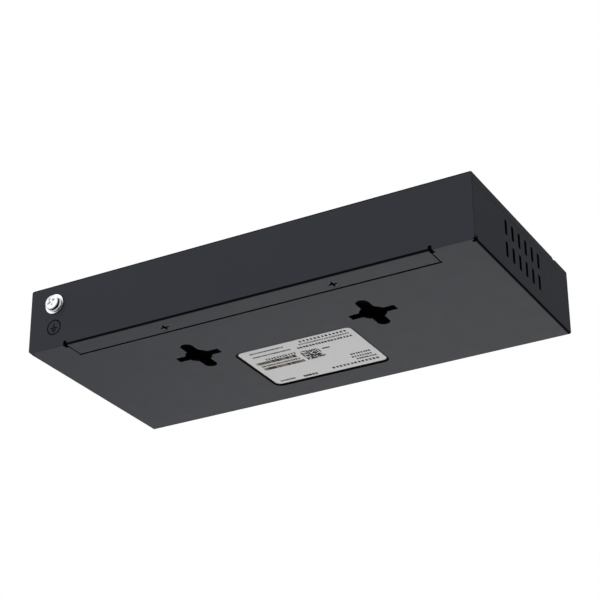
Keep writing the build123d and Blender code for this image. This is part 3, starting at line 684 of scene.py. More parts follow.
# Black oxide on the two flush screws: as dark as the case, a little glossier, and with shade painted black in the
# recess
SCREW_OXIDE = Oxide(
    "black_oxide_steel", "#3b3d42", Look.PAINT, roughness=0.5, spread=0.05, tone=0.06, grain_mm=0.25,
    grain_depth_mm=0.004, cloud_mm=1.5, specular=0.06,
)
# Polyester label with a matte lacquer: pale grey, even, with a trace of paper-like mottle
LABEL_FILM = Finish(
    "polyester_label_film", "#bbbbbd", Look.PLASTIC, roughness=0.5, spread=0.05, tone=0.03, grain_mm=0.15,
    grain_depth_mm=0.002, cloud_mm=5.0, specular=0.35,
)
# Thermal-transfer ink: matte and nearly black, with a fine mottle, so it never reads as solid black
LABEL_INK = Finish(
    "thermal_transfer_ink", "#131315", Look.PLASTIC, roughness=0.6, spread=0.05, tone=0.15, grain_mm=0.12,
    grain_depth_mm=0.001, cloud_mm=0.6, specular=0.1,
)
# Pre-printed warm tint between the stripes of the bands
LABEL_TINT = Finish(
    "warm_label_tint", "#877c70", Look.PLASTIC, roughness=0.6, spread=0.05, tone=0.15, grain_mm=0.12,
    grain_depth_mm=0.001, cloud_mm=0.6, specular=0.1,
)
# Screen-printed epoxy ink on the rear wall: dull, and darker than the paint round it
SIGN_INK = Finish(
    "screen_printed_ink", "#111216", Look.PLASTIC, roughness=0.8, spread=0.04, tone=0.1, grain_mm=0.12,
    grain_depth_mm=0.002, cloud_mm=1.0, specular=0.03,
)
# Bright nickel on the ground screw, turned and pressed: mirror-like with faint rings, and a dark reflection
# painted along the head's flank
BRIGHT_NICKEL = Turned(
    "bright_nickel_plate", "#d9d9d7", Look.METAL, roughness=0.26, spread=0.06, tone=0.06, grain_mm=0.25,
    grain_depth_mm=0.004, cloud_mm=1.2, centre_mm=(83.2, 45.0, 18.6), turn=(float(np.pi / 2), 0.0, 0.0),
    ring_mm=0.12, flank_mm=(45.78, 46.62),
)

# Finishes of the fastenings and parts inside

# Nickel-plated brass of the stand-offs and the board's screws: greyer and less of a mirror
PLAIN_NICKEL = Finish(
    "dull_nickel_plate", "#bdbab3", Look.METAL, roughness=0.32, spread=0.06, tone=0.08, grain_mm=0.2,
    grain_depth_mm=0.004, cloud_mm=1.5,
)
# Tin-plated phosphor bronze strip, stamped: satin, with rolling lines along the strip
TIN_PLATE = Drawn(
    "stamped_tin_plate", "#c6c5c1", Look.METAL, roughness=0.33, spread=0.06, tone=0.05, grain_mm=0.2,
    grain_depth_mm=0.003, cloud_mm=4.0, line_mm=0.1,
)
# Hard gold over nickel on the jack's contacts: warm, with drawing lines along each contact
GOLD_PLATE = Drawn(
    "hard_gold_plate", "#d9a84a", Look.METAL, roughness=0.25, spread=0.05, tone=0.05, grain_mm=0.1,
    grain_depth_mm=0.002, cloud_mm=1.0, along=1, line_mm=0.06,
)
# Glass-filled polyester of the jack housings: black, with a fine spark-eroded grain
HOUSING_PLASTIC = Finish(
    "glass_filled_polyester", "#1b1b1c", Look.PLASTIC, roughness=0.5, spread=0.06, tone=0.1, grain_mm=0.12,
    grain_depth_mm=0.006, cloud_mm=3.0,
)
# Polycarbonate light pipe: milky clear, with a slightly matte end face
PIPE_PLASTIC = Finish(
    "clear_polycarbonate", "#e4e8e9", Look.CLEAR, roughness=0.3, spread=0.03, tone=0.01, grain_mm=0.3,
    grain_depth_mm=0.002, cloud_mm=3.0, ior=1.585,
)
# Silicone lens of a surface-mount diode: milky yellow from the phosphor
DIODE_RESIN = Finish(
    "phosphor_silicone", "#e6d68a", Look.PLASTIC, roughness=0.3, spread=0.04, tone=0.05, grain_mm=0.3,
    grain_depth_mm=0.002, cloud_mm=0.8, ior=1.41,
)
# Solder mask over the copper of a glass-cloth board: a glossy green that steps up over each track
BOARD_LAMINATE = Laminate(
    "solder_mask_laminate", "#12502a", Look.PLASTIC, roughness=0.35, spread=0.06, tone=0.08, grain_mm=0.5,
    grain_depth_mm=0.03, cloud_mm=6.0,
)
# Flame-retardant polypropylene sheet: black, matte, with a faint calendered grain
BLACK_FILM = Finish(
    "polypropylene_film", "#101012", Look.PLASTIC, roughness=0.6, spread=0.05, tone=0.1, grain_mm=0.25,
    grain_depth_mm=0.004, cloud_mm=6.0, specular=0.3,
)
# Soft silicone gap pad: chalky grey-blue
GAP_PAD = Finish(
    "silicone_gap_pad", "#8f9dab", Look.PLASTIC, roughness=0.8, spread=0.04, tone=0.05, grain_mm=0.5,
    grain_depth_mm=0.02, cloud_mm=3.0, specular=0.3,
)
# Extruded aluminium heat sink, plain: drawn lines along the fins
EXTRUDED_ALUMINIUM = Drawn(
    "extruded_aluminium", "#b4b6b9", Look.METAL, roughness=0.36, spread=0.06, tone=0.06, grain_mm=0.3,
    grain_depth_mm=0.006, cloud_mm=5.0, along=1,
)
# Manganese-zinc ferrite of the power inductors: dark grey and dry
FERRITE = Finish(
    "sintered_ferrite", "#37383a", Look.PLASTIC, roughness=0.68, spread=0.06, tone=0.12, grain_mm=0.18,
    grain_depth_mm=0.012, cloud_mm=2.0, specular=0.35,
)
# White ceramic of the chip fuse: smooth, with a fired sheen
FUSE_CERAMIC = Finish(
    "alumina_ceramic", "#d8d3c6", Look.PLASTIC, roughness=0.42, spread=0.05, tone=0.05, grain_mm=0.2,
    grain_depth_mm=0.004, cloud_mm=1.5,
)
# Tan ceramic of the multilayer capacitors: a little glossier than the fuse
CAPACITOR_CERAMIC = Finish(
    "barium_titanate_ceramic", "#a58a64", Look.PLASTIC, roughness=0.38, spread=0.05, tone=0.1, grain_mm=0.15,
    grain_depth_mm=0.003, cloud_mm=1.0,
)
# Plain moulded epoxy of the small packages: black and matte, with the mould's fine grain
EPOXY = Finish(
    "moulded_epoxy", "#1d1e20", Look.PLASTIC, roughness=0.6, spread=0.05, tone=0.12, grain_mm=0.14,
    grain_depth_mm=0.006, cloud_mm=2.0, specular=0.4,
)


# Shapes


def grid_quads(rows: int, columns: int, close_rows: bool, close_columns: bool) -> Array:
    """Return the quads of a grid of points stored row by row.

    Point j of row i has the number i times columns plus j. A quad joins it with the next point of its row and
    with the same two points of the next row.

    Args:
        rows: Number of rows of points.
        columns: Number of points in a row.
        close_rows: Whether the last row joins the first.
        close_columns: Whether the last point of a row joins its first.

    Returns:
        An (n, 4) array of point numbers.
    """
    i = np.arange(rows if close_rows else rows - 1)[:, None]
    j = np.arange(columns if close_columns else columns - 1)[None, :]
    next_i, next_j = (i + 1) % rows, (j + 1) % columns
    corners = (i * columns + j, i * columns + next_j, next_i * columns + next_j, next_i * columns + j)
    return np.stack([np.broadcast_to(c, (i.size, j.size)) for c in corners], axis=-1).reshape(-1, 4)


def tablets(
    middles: Array, halves: Array, corner: float, levels: Pair, facets: int = 2,
) -> tuple[Array, Array, list[Array]]:
    """Work out thin tablets with rounded corners, all at once.

    The outline of each is its rectangle less the corner radius, plus that radius times the direction of travel,
    for one more direction to a corner than it has facets.

    Args:
        middles: (m, 2) centres.
        halves: (m, 2) half sizes.
        corner: Corner radius, cut to what the smaller half size allows.
        levels: Lower and upper level of the tablets.
        facets: Number of flat facets round a corner.

    Returns:
        (n, 3) points with the level last, quads round the sides, and the two caps of each tablet.
    """
    round_points = 4 * (facets + 1)
    quarter, step = np.divmod(np.arange(round_points), facets + 1)
    angle = (quarter + step / facets) * np.pi / 2
    diagonal = quarter * np.pi / 2 + np.pi / 4
    sign = np.sign(np.stack([np.cos(diagonal), np.sin(diagonal)], axis=1))
    way = np.stack([np.cos(angle), np.sin(angle)], axis=1)
    radius = np.minimum(corner, CORNER_SHARE * halves.min(axis=1))[:, None, None]
    outline = middles[:, None] + sign * (halves[:, None] - radius) + radius * way
    count = len(middles)
    flat = np.broadcast_to(outline[:, None], (count, 2, round_points, 2))
    level = np.broadcast_to(np.array(levels)[None, :, None, None], (count, 2, round_points, 1))
    points = np.concatenate([flat, level], axis=-1).reshape(-1, 3)
    starts = np.arange(count) * 2 * round_points
    quads = (starts[:, None, None] + grid_quads(2, round_points, False, True)[None]).reshape(-1, 4)
    low = [start + np.arange(round_points)[::-1] for start in starts]
    high = [start + round_points + np.arange(round_points) for start in starts]
    return points, quads, low + high


def make_piece(
    name: str, points_mm: Array, quads: Array, finish: bpy.types.Material, caps: Sequence[Array] = (),
    smooth: bool = True,
) -> bpy.types.Object:
    """Make an object from points in millimetres, with its place in its mesh.

    Args:
        name: Name of the piece.
        points_mm: (n, 3) points in the CAD frame.
        quads: (m, 4) point numbers.
        finish: Its material.
        caps: Further faces, each an array of point numbers.
        smooth: Whether the faces are shaded smooth up to a sharp angle.

    Returns:
        The object, riding on the root body.
    """
    mesh = bpy.data.meshes.new(name)
    mesh.from_pydata((points_mm * MM).tolist(), [], quads.tolist() + [cap.tolist() for cap in caps])
    mesh.validate()
    mesh.materials.append(finish)
    if smooth:
        mesh.shade_smooth()
        mesh.set_sharp_from_angle(angle=np.radians(SHARP_DEGREES))
    piece = show(name, mesh)
    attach(piece, "root")
    LOG.info("piece %s: %d faces", name, len(mesh.polygons))
    return piece


@dataclass(frozen=True)
class Axes:
    """A local frame: a head or washer is worked out along its own z and laid in the CAD frame.

    Attributes:
        origin: Its origin in the CAD frame, in millimetres.
        x: Direction of local x.
        y: Direction of local y.
        z: Direction of local z, which points out of the case.
    """

    origin: Triple
    x: Triple
    y: Triple
    z: Triple

    def to_case(self, points: Array) -> Array:
        """Return local points carried into the CAD frame: origin plus x, y and z times their axes."""
        return np.array(self.origin) + points @ np.array([self.x, self.y, self.z])


@dataclass
class ScrewForm:
    """A screw with a cross recess, turned from one profile round its axis.

    The head's face is a grid of rings. Its height is the face's own curve less the recess, whose depth falls from
    the middle towards the ends of its four wings.

    Attributes:
        head_radius: Radius of the head, in millimetres like the rest.
        recess_depth: Depth of the recess at the axis.
        shank_length: Length of the shank below the origin.
        head_height: Height of the head above the origin.
        crown: How much higher the middle of the face is than its rim.
        rim: Radius of the rounding at the rim.
        cone: Depth over which a countersunk head narrows to the shank, or 0 for a pan head.
        turn: Turn of the recess round the axis, in radians.
        shank_radius: Radius of the threaded shank.
        tip: Size of the chamfer at the shank's end.
        wing_length: Reach of a wing of the recess from the axis.
        wing_width: Width of a wing at the axis.
        wing_taper: Share of that width that is lost at the wing's end.
        floor_rise: Share of the depth that is lost at the wing's end.
        side_soft: Width over which the side of a wing falls.
        end_soft: Width over which the end of a wing falls.
        rings: Number of rings of points on the face.
        rim_steps: Number of steps round the rim.
        spokes: Number of points in a ring.
    """

    head_radius: float
    recess_depth: float
    shank_length: float
    head_height: float = 0.0
    crown: float = 0.0
    rim: float = 0.0
    cone: float = 0.0
    turn: float = 0.0
    shank_radius: float = 1.5
    tip: float = 0.25
    wing_length: float = 1.8
    wing_width: float = 1.1
    wing_taper: float = 0.25
    floor_rise: float = 0.55
    side_soft: float = 0.06
    end_soft: float = 0.1
    rings: int = 44
    rim_steps: int = 6
    spokes: int = 128

    def recess(self, x: Array, y: Array) -> Array:
        """Work out the depth of the recess at each point.

        A point is in a wing where the nearer of |x| and |y| is under half a width that narrows outwards and the
        further one is under the wing's length. Both limits are smooth steps.

        Args:
            x: Local x of the points.
            y: Local y of the points.

        Returns:
            The depth, 0 outside the recess.
        """
        cos, sin = np.cos(self.turn), np.sin(self.turn)
        x, y = x * cos + y * sin, y * cos - x * sin
        near, far = np.minimum(abs(x), abs(y)), np.maximum(abs(x), abs(y))
        width = self.wing_width * (1 - self.wing_taper * far / self.wing_length)
        side = np.clip((width / 2 - near) / self.side_soft + 0.5, 0, 1)
        end = np.clip((self.wing_length - far) / self.end_soft + 0.5, 0, 1)
        slope = self.recess_depth * (1 - self.floor_rise * far / self.wing_length)
        return slope * side * side * (3 - 2 * side) * end * end * (3 - 2 * end)

    def points(self) -> Array:
        """Work out the grid of points, ring by ring from the axis at the face to the axis at the shank's end.

        The face's height is head_height plus crown times 1 - (r / edge)^2, less the recess. The rim is a quarter
        circle, and the flank, the cone and the shank follow as straight lines.

        Returns:
            (rings, spokes, 3) points in the screw's own frame.
        """
        edge = self.head_radius - self.rim
        face_r = edge * np.linspace(0.0, 1.0, self.rings)
        angle = np.linspace(0, np.pi / 2, self.rim_steps + 1)[1:] if self.rim else np.empty(0)
        rim_r = edge + self.rim * np.sin(angle)
        rim_z = self.head_height - self.rim + self.rim * np.cos(angle)
        tail_r = [self.shank_radius, self.shank_radius, self.shank_radius - self.tip, 0.0]
        tail_z = [-self.cone, self.tip - self.shank_length, -self.shank_length, -self.shank_length]
        if self.rim:
            tail_r, tail_z = [self.head_radius] + tail_r, [0.0] + tail_z
        radii = np.concatenate([face_r, rim_r, tail_r])[:, None]
        theta = np.linspace(0, 2 * np.pi, self.spokes, endpoint=False)[None, :]
        x, y = radii * np.cos(theta), radii * np.sin(theta)
        face_z = self.head_height + self.crown * (1 - (face_r / edge) ** 2)
        z = np.concatenate([face_z, rim_z, tail_z])[:, None] * np.ones_like(theta)
        z[: self.rings] -= self.recess(x[: self.rings], y[: self.rings])
        return np.stack([x, y, z], axis=-1)

    def mesh(self, axes: Axes) -> tuple[Array, Array, list[Array]]:
        """Work out the screw's mesh in the CAD frame.

        The first and last rings, which lie on the axis, are each one point, joined by a fan.

        Args:
            axes: The screw's own frame.

        Returns:
            Points in millimetres, quads, and the triangles of the two fans.
        """
        grid = self.points()
        inner = grid[1:-1]
        rows, columns = inner.shape[:2]
        count = rows * columns
        points = np.concatenate([inner.reshape(-1, 3), grid[0, :1], grid[-1, :1]])
        quads = grid_quads(rows, columns, False, True)[:, ::-1]
        j = np.arange(columns)
        k = (j + 1) % columns
        first = np.stack([j, k, np.full(columns, count)], axis=1)
        last_row = (rows - 1) * columns
        last = np.stack([last_row + k, last_row + j, np.full(columns, count + 1)], axis=1)
        return axes.to_case(points), quads, list(first) + list(last)


@dataclass
class GroundTerminal:
    """The ground screw on the rear wall, with its split lock washer and the earth sign under it.

    Attributes:
        centre: Axis of the screw along X and Z, in millimetres.
        wall_y: The rear wall's outer face.
        washer: Thickness of the flat washer.
        lock: Thickness of the lock washer.
        lock_inner: Its inner radius.
        lock_outer: Its outer radius under the head.
        lock_foot: Its outer radius on the flat washer.
        lock_split: Angle of its gap, in radians.
        lock_soft: Size of the bevels on its section.
        lock_thinning: Share of its thickness that is lost at the gap.
        lock_steps: Number of steps round it.
        sign_centre: Middle of the earth sign along X and Z.
        sign_radius: Radius of its ring.
        sign_line: Width of its lines.
        sign_stem: Height of the stem's middle over the sign's, and half the stem's length.
        sign_bars: The same two numbers of each bar under the stem.
        sign_corner: Corner radius of stem and bars.
        sign_spokes: Number of points round the ring.
        ink: Thickness of its ink.
        head: The screw.
    """

    centre: Pair = (83.2, 18.6)
    wall_y: float = 44.4
    washer: float = 0.8
    lock: float = 0.6
    lock_inner: float = 1.65
    lock_outer: float = 2.7
    lock_foot: float = 3.3
    lock_split: float = 0.26
    lock_soft: float = 0.08
    lock_thinning: float = 0.06
    lock_steps: int = 72
    sign_centre: Pair = (83.3, 8.8)
    sign_radius: float = 3.0
    sign_line: float = 0.55
    sign_stem: Pair = (0.65, 0.95)
    sign_bars: tuple[Pair, ...] = ((-0.3, 1.6), (-1.15, 1.0), (-1.95, 0.45))
    sign_corner: float = 0.08
    sign_spokes: int = 96
    ink: float = 0.02
    head: ScrewForm = field(default_factory=lambda: ScrewForm(
        head_radius=3.0, recess_depth=0.85, shank_length=6.4, head_height=1.4, crown=0.3, rim=0.5, turn=0.5,
    ))

    def axes(self, out: float) -> Axes:
        """Return a frame on the screw's axis, out millimetres from the wall, with z pointing out of the case."""
        x, z = self.centre
        return Axes((x, self.wall_y + out, z), (-1, 0, 0), (0, 0, 1), (0, 1, 0))

    def build_screw(self, finish: bpy.types.Material) -> None:
        """Build the pan head screw in place of the CAD node.

        Args:
            finish: Its material.
        """
        points, quads, caps = self.head.mesh(self.axes(self.washer + self.lock))
        piece = make_piece("ground_screw_pan_head", points, quads, finish, caps)
        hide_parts("ground_screw")

    def build_lock_washer(self, finish: bpy.types.Material) -> None:
        """Build the split lock washer in place of the CAD node: a trapezium swept round the axis.

        The section is carried from one end of the gap to the other. Its height is lock, less the share
        lock_thinning times the distance from the far side, which is 1 at both ends of the gap.

        Args:
            finish: Its material.
        """
        half, soft, inner, outer, foot = (
            self.lock / 2, self.lock_soft, self.lock_inner, self.lock_outer, self.lock_foot,
        )
        turn = np.linspace(0, 1, self.lock_steps + 1)[:, None]
        theta = np.pi / 2 + self.lock_split / 2 + turn * (2 * np.pi - self.lock_split)
        section_r = np.array([inner, inner + soft, outer - soft, outer, foot, foot - soft, inner + soft, inner])
        section_z = np.array([half - soft, half, half, half - soft, soft - half, -half, -half, soft - half])
        r = section_r[None, :] * np.ones_like(theta)
        z = section_z[None, :] * (1 - self.lock_thinning * abs(2 * turn - 1)) + half
        points = np.stack([r * np.cos(theta), r * np.sin(theta), z], axis=-1)
        count = len(section_r)
        quads = grid_quads(self.lock_steps + 1, count, False, True)[:, ::-1]
        caps = [np.arange(count), self.lock_steps * count + np.arange(count)[::-1]]
        placed = self.axes(self.washer).to_case(points.reshape(-1, 3))
        piece = make_piece("ground_split_washer", placed, quads, finish, caps)
        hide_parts("ground_lock_washer")

    def build_sign(self, finish: bpy.types.Material) -> None:
        """Build the earth sign: a ring, a stem and three bars that shorten downwards, as raised ink.

        The ring is a flat section carried round a circle. A bar is a rounded rectangle given its thickness.

        Args:
            finish: Its material.
        """
        x, z = self.sign_centre
        line = self.sign_line
        low, high = -EMBED, self.ink
        theta = np.linspace(0, 2 * np.pi, self.sign_spokes, endpoint=False)[:, None]
        r = self.sign_radius + line * np.array([[-0.5, 0.5, 0.5, -0.5]])
        y = self.wall_y + np.array([[low, low, high, high]]) * np.ones_like(theta)
        ring = np.stack([x + r * np.cos(theta), y, z + r * np.sin(theta)], axis=-1).reshape(-1, 3)
        ring_quads = grid_quads(self.sign_spokes, r.shape[1], True, True)
        rises, reaches = zip(self.sign_stem, *self.sign_bars)
        middles = np.array([[x, z + rise] for rise in rises])
        halves = np.array([[line / 2, reaches[0]]] + [[reach, line / 2] for reach in reaches[1:]])
        bars, quads, caps = tablets(middles, halves, self.sign_corner, (self.wall_y + low, self.wall_y + high))
        points = np.concatenate([ring, bars[:, [0, 2, 1]]])
        quads = np.concatenate([ring_quads, quads + len(ring)])[:, ::-1]
        caps = [cap[::-1] + len(ring) for cap in caps]
        make_piece("earth_sign", points, quads, finish, caps, smooth=False)

    def build(self, nickel: bpy.types.Material, ink: bpy.types.Material) -> None:
        """Build the screw, its washer and the sign.

        Args:
            nickel: Material of the screw and the washer.
            ink: Material of the sign.
        """
        self.build_screw(nickel)
        self.build_lock_washer(nickel)
        self.build_sign(ink)


@dataclass
class CoverScrews:
    """The two flush screws in the tab, seen from below.

    Attributes:
        spacing: Distance between them, in millimetres.
        y: Their place along Y.
        face: Height of their faces above the case's underside.
        form: The screw.
    """

    spacing: float = 72.0
    y: float = 38.0
    face: float = 0.05
    form: ScrewForm = field(default_factory=lambda: ScrewForm(
        head_radius=2.45, recess_depth=1.2, shank_length=5.0, cone=0.95,
    ))

    def build(self, finish: bpy.types.Material) -> None:
        """Build both screws as one piece in place of the CAD node.

        Args:
            finish: Their material.
        """
        points, quads, caps = [], [], []
        for number, x in enumerate((-self.spacing / 2, self.spacing / 2)):
            axes = Axes((x, self.y, self.face), (1, 0, 0), (0, -1, 0), (0, 0, -1))
            new_points, new_quads, new_caps = self.form.mesh(axes)
            start = number * len(new_points)
            points.append(new_points)
            quads.append(new_quads + start)
            caps.extend(cap + start for cap in new_caps)
        piece = make_piece("flush_cross_screws", np.concatenate(points), np.concatenate(quads), finish,
                           caps)
        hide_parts("cover_screws")


@dataclass
class LabelPrint:
    """The rating label's film and its plain marks: rows of dashes, striped bands and one speckled field.

    Places are measured from the middle of the label's recess, in millimetres.

    Attributes:
        centre: Middle of the recess.
        film: Low and high X of the film, then low and high Y.
        corner: Corner radius of the film.
        corner_facets: Number of flat facets round it.
        levels: Heights of the film's visible face and of its back.
        ink: Thickness of the print. The tint is half as thick.
        mark_corner: Corner radius of a mark.
        seed: Seed of the dashes; the bands and the field have the next two.
        dash_rows: Rows of dashes: start and end along X, y, height, pitch, and the shares of a pitch between which
            a dash's length lies.
        bands: Striped bands: start and end along X, and y.
        band_height: Height of a band.
        band_pitch: Pitch of its stripes.
        band_shares: Widths that a stripe may have, as shares of the pitch.
        tint_strips: Tinted strips behind the bands: middle and half size.
        field_corner: Low X and low Y of the speckled field.
        field_size: Side of the field.
        field_cells: Number of cells along a side.
        field_fill: Share of the cells that are filled.
    """

    centre: Pair = (0.7, -13.5)
    film: tuple[float, float, float, float] = (-25.1, 24.6, -16.0, 16.9)
    corner: float = 2.2
    corner_facets: int = 10
    levels: Pair = (0.2, 0.35)
    ink: float = 0.015
    mark_corner: float = 0.05
    seed: int = 7
    dash_rows: tuple[tuple[float, ...], ...] = (
        (-22.6, -1.0, 14.9, 1.4, 1.62, 0.5, 0.62),
        (-22.6, -0.6, 12.65, 0.98, 1.0, 0.55, 0.8),
        (-22.6, 1.9, 10.1, 1.34, 1.35, 0.6, 0.85),
        (-10.4, -7.0, 5.25, 0.98, 3.4, 0.95, 0.96),
        (5.5, 21.4, 14.0, 1.04, 0.95, 0.55, 0.85),
        (4.0, 21.9, 10.7, 1.04, 0.95, 0.55, 0.85),
        (3.9, 18.7, 6.9, 1.46, 1.25, 0.5, 0.7),
        (4.7, 22.5, 1.8, 1.34, 1.1, 0.55, 0.8),
        (-22.6, -13.4, -5.1, 1.22, 1.1, 0.55, 0.85),
        (-22.0, -12.5, -7.6, 1.22, 1.1, 0.55, 0.85),
        (-22.9, -13.6, -9.9, 1.22, 1.1, 0.55, 0.85),
        (-22.6, -0.1, -12.7, 1.46, 1.62, 0.55, 0.72),
        (15.4, 22.5, -13.7, 1.22, 1.0, 0.55, 0.85),
        (5.4, 12.9, -14.0, 1.59, 1.3, 0.75, 0.92),
    )
    bands: tuple[Triple, ...] = ((4.9, 22.4, 4.6), (4.0, 22.1, -0.8))
    band_height: float = 2.2
    band_pitch: float = 1.05
    band_shares: Triple = (0.35, 0.65, 0.95)
    tint_strips: tuple[tuple[float, float, float, float], ...] = ((13.65, 4.6, 8.9, 1.1), (13.05, -0.8, 9.2, 1.1))
    field_corner: Pair = (-5.7, -1.3)
    field_size: float = 8.1
    field_cells: int = 15
    field_fill: float = 0.7

    def row(self, edges: Array, lengths: Array, y: float, height: float) -> Marks:
        """Return a row of marks from their left edges, their lengths, their y and their height."""
        middles = np.stack([edges + lengths / 2, np.full(len(edges), y)], axis=1)
        return middles, np.stack([lengths / 2, np.full(len(edges), height / 2)], axis=1)

    def dashes(self) -> list[Marks]:
        """Work out the rows of dashes: each is its row's pitch long, times a share drawn at random.

        Returns:
            The marks of each row.
        """
        draw = np.random.default_rng(self.seed)
        found = []
        for start, end, y, height, pitch, low, high in self.dash_rows:
            edges = start + pitch * np.arange(int((end - start) / pitch))
            found.append(self.row(edges, pitch * draw.uniform(low, high, len(edges)), y, height))
        return found

    def stripes(self) -> list[Marks]:
        """Work out the stripes of the bands: each is band_pitch wide, times one of band_shares drawn at random.

        Returns:
            The marks of each band.
        """
        draw = np.random.default_rng(self.seed + 1)
        found = []
        for start, end, y in self.bands:
            edges = np.arange(start, end - self.band_pitch, self.band_pitch)
            widths = self.band_pitch * draw.choice(self.band_shares, size=len(edges))
            found.append(self.row(edges, widths, y, self.band_height))
        return found

    def speckle(self) -> Marks:
        """Work out the speckled field: a cell of its grid is filled where a random share is under field_fill.

        Returns:
            The filled cells.
        """
        draw = np.random.default_rng(self.seed + 2)
        i, j = np.nonzero(draw.random((self.field_cells, self.field_cells)) < self.field_fill)
        size = self.field_size / self.field_cells
        x, y = self.field_corner
        middles = np.stack([x + size * (i + 0.5), y + size * (j + 0.5)], axis=1)
        return middles, np.full((len(middles), 2), size * 0.5)

    def build_film(self, finish: bpy.types.Material) -> None:
        """Build the film in place of the CAD node.

        Args:
            finish: Its material.
        """
        low_x, high_x, low_y, high_y = self.film
        middle = np.array([[(low_x + high_x) / 2, (low_y + high_y) / 2]]) + np.array(self.centre)
        half = np.array([[(high_x - low_x) / 2, (high_y - low_y) / 2]])
        points, quads, caps = tablets(middle, half, self.corner, self.levels, self.corner_facets)
        piece = make_piece("label_film_sheet", points, quads, finish, caps, smooth=False)
        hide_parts("rating_label")

    def build_marks(self, name: str, marks: list[Marks], ink: float, finish: bpy.types.Material) -> None:
        """Build marks as one piece of raised ink that faces down.

        Args:
            name: Name of the piece.
            marks: The marks.
            ink: Thickness of the ink.
            finish: Its material.
        """
        middles = np.concatenate([pair[0] for pair in marks]) + np.array(self.centre)
        halves = np.concatenate([pair[1] for pair in marks])
        face = self.levels[0]
        points, quads, caps = tablets(middles, halves, self.mark_corner, (face - ink, face + EMBED))
        make_piece(name, points, quads, finish, caps, smooth=False)

    def build(self, film: bpy.types.Material, ink: bpy.types.Material, tint: bpy.types.Material) -> None:
        """Build the film, the tints and the print over them.

        Args:
            film: Material of the film.
            ink: Material of the print.
            tint: Material of the tints.
        """
        self.build_film(film)
        strips = np.array(self.tint_strips)
        self.build_marks("label_tint", [(strips[:, :2], strips[:, 2:])], self.ink / 2, tint)
        self.build_marks("label_print", self.dashes() + self.stripes() + [self.speckle()], self.ink, ink)


@dataclass
class Dressing:
    """Gives every CAD node its finish.

    Attributes:
        shared: Finishes, each with the names of the nodes that have it.
        leaded: Packages with leads along Y, each with half its body's depth in millimetres.
        spot_inset: Distance of a package's dot from the two edges of its body.
        cans: The sleeved capacitors.
    """

    shared: tuple[tuple[Finish, str], ...] = (
        (CASE_PAINT, "top_cover base_tray"),
        (SCREW_OXIDE, "cover_screws"),
        (LABEL_FILM, "rating_label"),
        (BRIGHT_NICKEL, "ground_flat_washer ground_lock_washer ground_screw"),
        (PLAIN_NICKEL, "ground_nut standoffs board_screws crystal"),
        (BOARD_LAMINATE, "circuit_board"),
        (BLACK_FILM, "insulating_film"),
        (TIN_PLATE, "jack_shield_left jack_shield_right inlet_pin inlet_spring"),
        (HOUSING_PLASTIC, "jack_housing_left jack_housing_right inlet_body"),
        (GOLD_PLATE, "jack_contacts_left jack_contacts_right"),
        (PIPE_PLASTIC, "light_pipe_left light_pipe_right status_light_pipe"),
        (DIODE_RESIN, "light_diodes"),
        (EPOXY, "switch_chip surge_diode resistor_arrays"),
        (GAP_PAD, "thermal_pad"),
        (EXTRUDED_ALUMINIUM, "heat_sink"),
        (FERRITE, "power_inductor_1 power_inductor_2"),
        (FUSE_CERAMIC, "input_fuse"),
        (CAPACITOR_CERAMIC, "chip_capacitors"),
    )
    leaded: tuple[tuple[str, float], ...] = (
        ("line_transformer_1", 4.8), ("line_transformer_2", 4.8), ("line_transformer_3", 4.8),
        ("line_transformer_4", 4.8), ("flash_chip", 1.95), ("power_regulator", 1.95),
    )
    spot_inset: float = 1.2
    cans: tuple[str, ...] = ("filter_capacitor_1", "filter_capacitor_2")

    def placed(self) -> dict[str, Finish]:
        """Make the finishes that depend on where their node is: those of leaded packages and sleeved cans.

        Returns:
            The finishes by node name.
        """
        found: dict[str, Finish] = {}
        for name, depth in self.leaded:
            low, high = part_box(name)
            middle = (low[1] + high[1]) / 2 / MM
            found[name] = Package(
                f"epoxy_package_{name}", "#1c1d1f", Look.PLASTIC, roughness=0.58, spread=0.05, tone=0.12,
                grain_mm=0.14, grain_depth_mm=0.006, cloud_mm=2.0, centre_y_mm=middle, half_depth_mm=depth,
                spot_mm=(low[0] / MM + self.spot_inset, middle - depth + self.spot_inset),
            )
        for name in self.cans:
            low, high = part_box(name)
            found[name] = Sleeved(
                f"sleeved_can_{name[-1]}", "#1b2430", Look.PLASTIC, roughness=0.34, spread=0.05, tone=0.06,
                grain_mm=0.4, grain_depth_mm=0.004, cloud_mm=3.0, top_mm=high[2] / MM,
                centre_mm=((low[0] + high[0]) / 2 / MM, (low[1] + high[1]) / 2 / MM),
            )
        return found

    def dress(self, nodes: dict[str, bpy.types.Object], made: dict[str, bpy.types.Material]) -> None:
        """Put each node's finish into its material slots.

        Args:
            nodes: CAD nodes by name.
            made: Materials by finish name, filled as they are first needed.
        """
        finishes = {name: finish for finish, names in self.shared for name in names.split()}
        finishes.update(self.placed())
        for name, node in nodes.items():
            finish = finishes[name]
            if finish.name not in made:
                made[finish.name] = finish.build()
            for place in node.material_slots:
                place.material = made[finish.name]
            if not node.material_slots:
                node.data.materials.append(made[finish.name])
            LOG.info("node %s: %s", name, finish.name)


# Camera, light and floor


@dataclass
class Lamp:
    """A soft rectangular lamp.

    Attributes:
        name: Its name.
        place: Where it hangs, in metres.
        size: Its width and height, in metres.
        power: Its power in watts.
        colour: sRGB hex colour of its light.
    """

    name: str
    place: Triple
    size: Pair
    power: float
    colour: str = WHITE

    def build(self, target: Vector) -> None:
        """Hang the lamp, turned to a target.

        Args:
            target: The place that it faces, in metres.
        """
        data = bpy.data.lights.new(self.name, "AREA")
        data.shape = "RECTANGLE"
        data.size, data.size_y = self.size
        data.energy = self.power
        data.color = linear(self.colour)[:3]
        lamp = show(self.name, data)
        lamp.location = self.place
        lamp.rotation_euler = (target - Vector(self.place)).to_track_quat("-Z", "Y").to_euler()


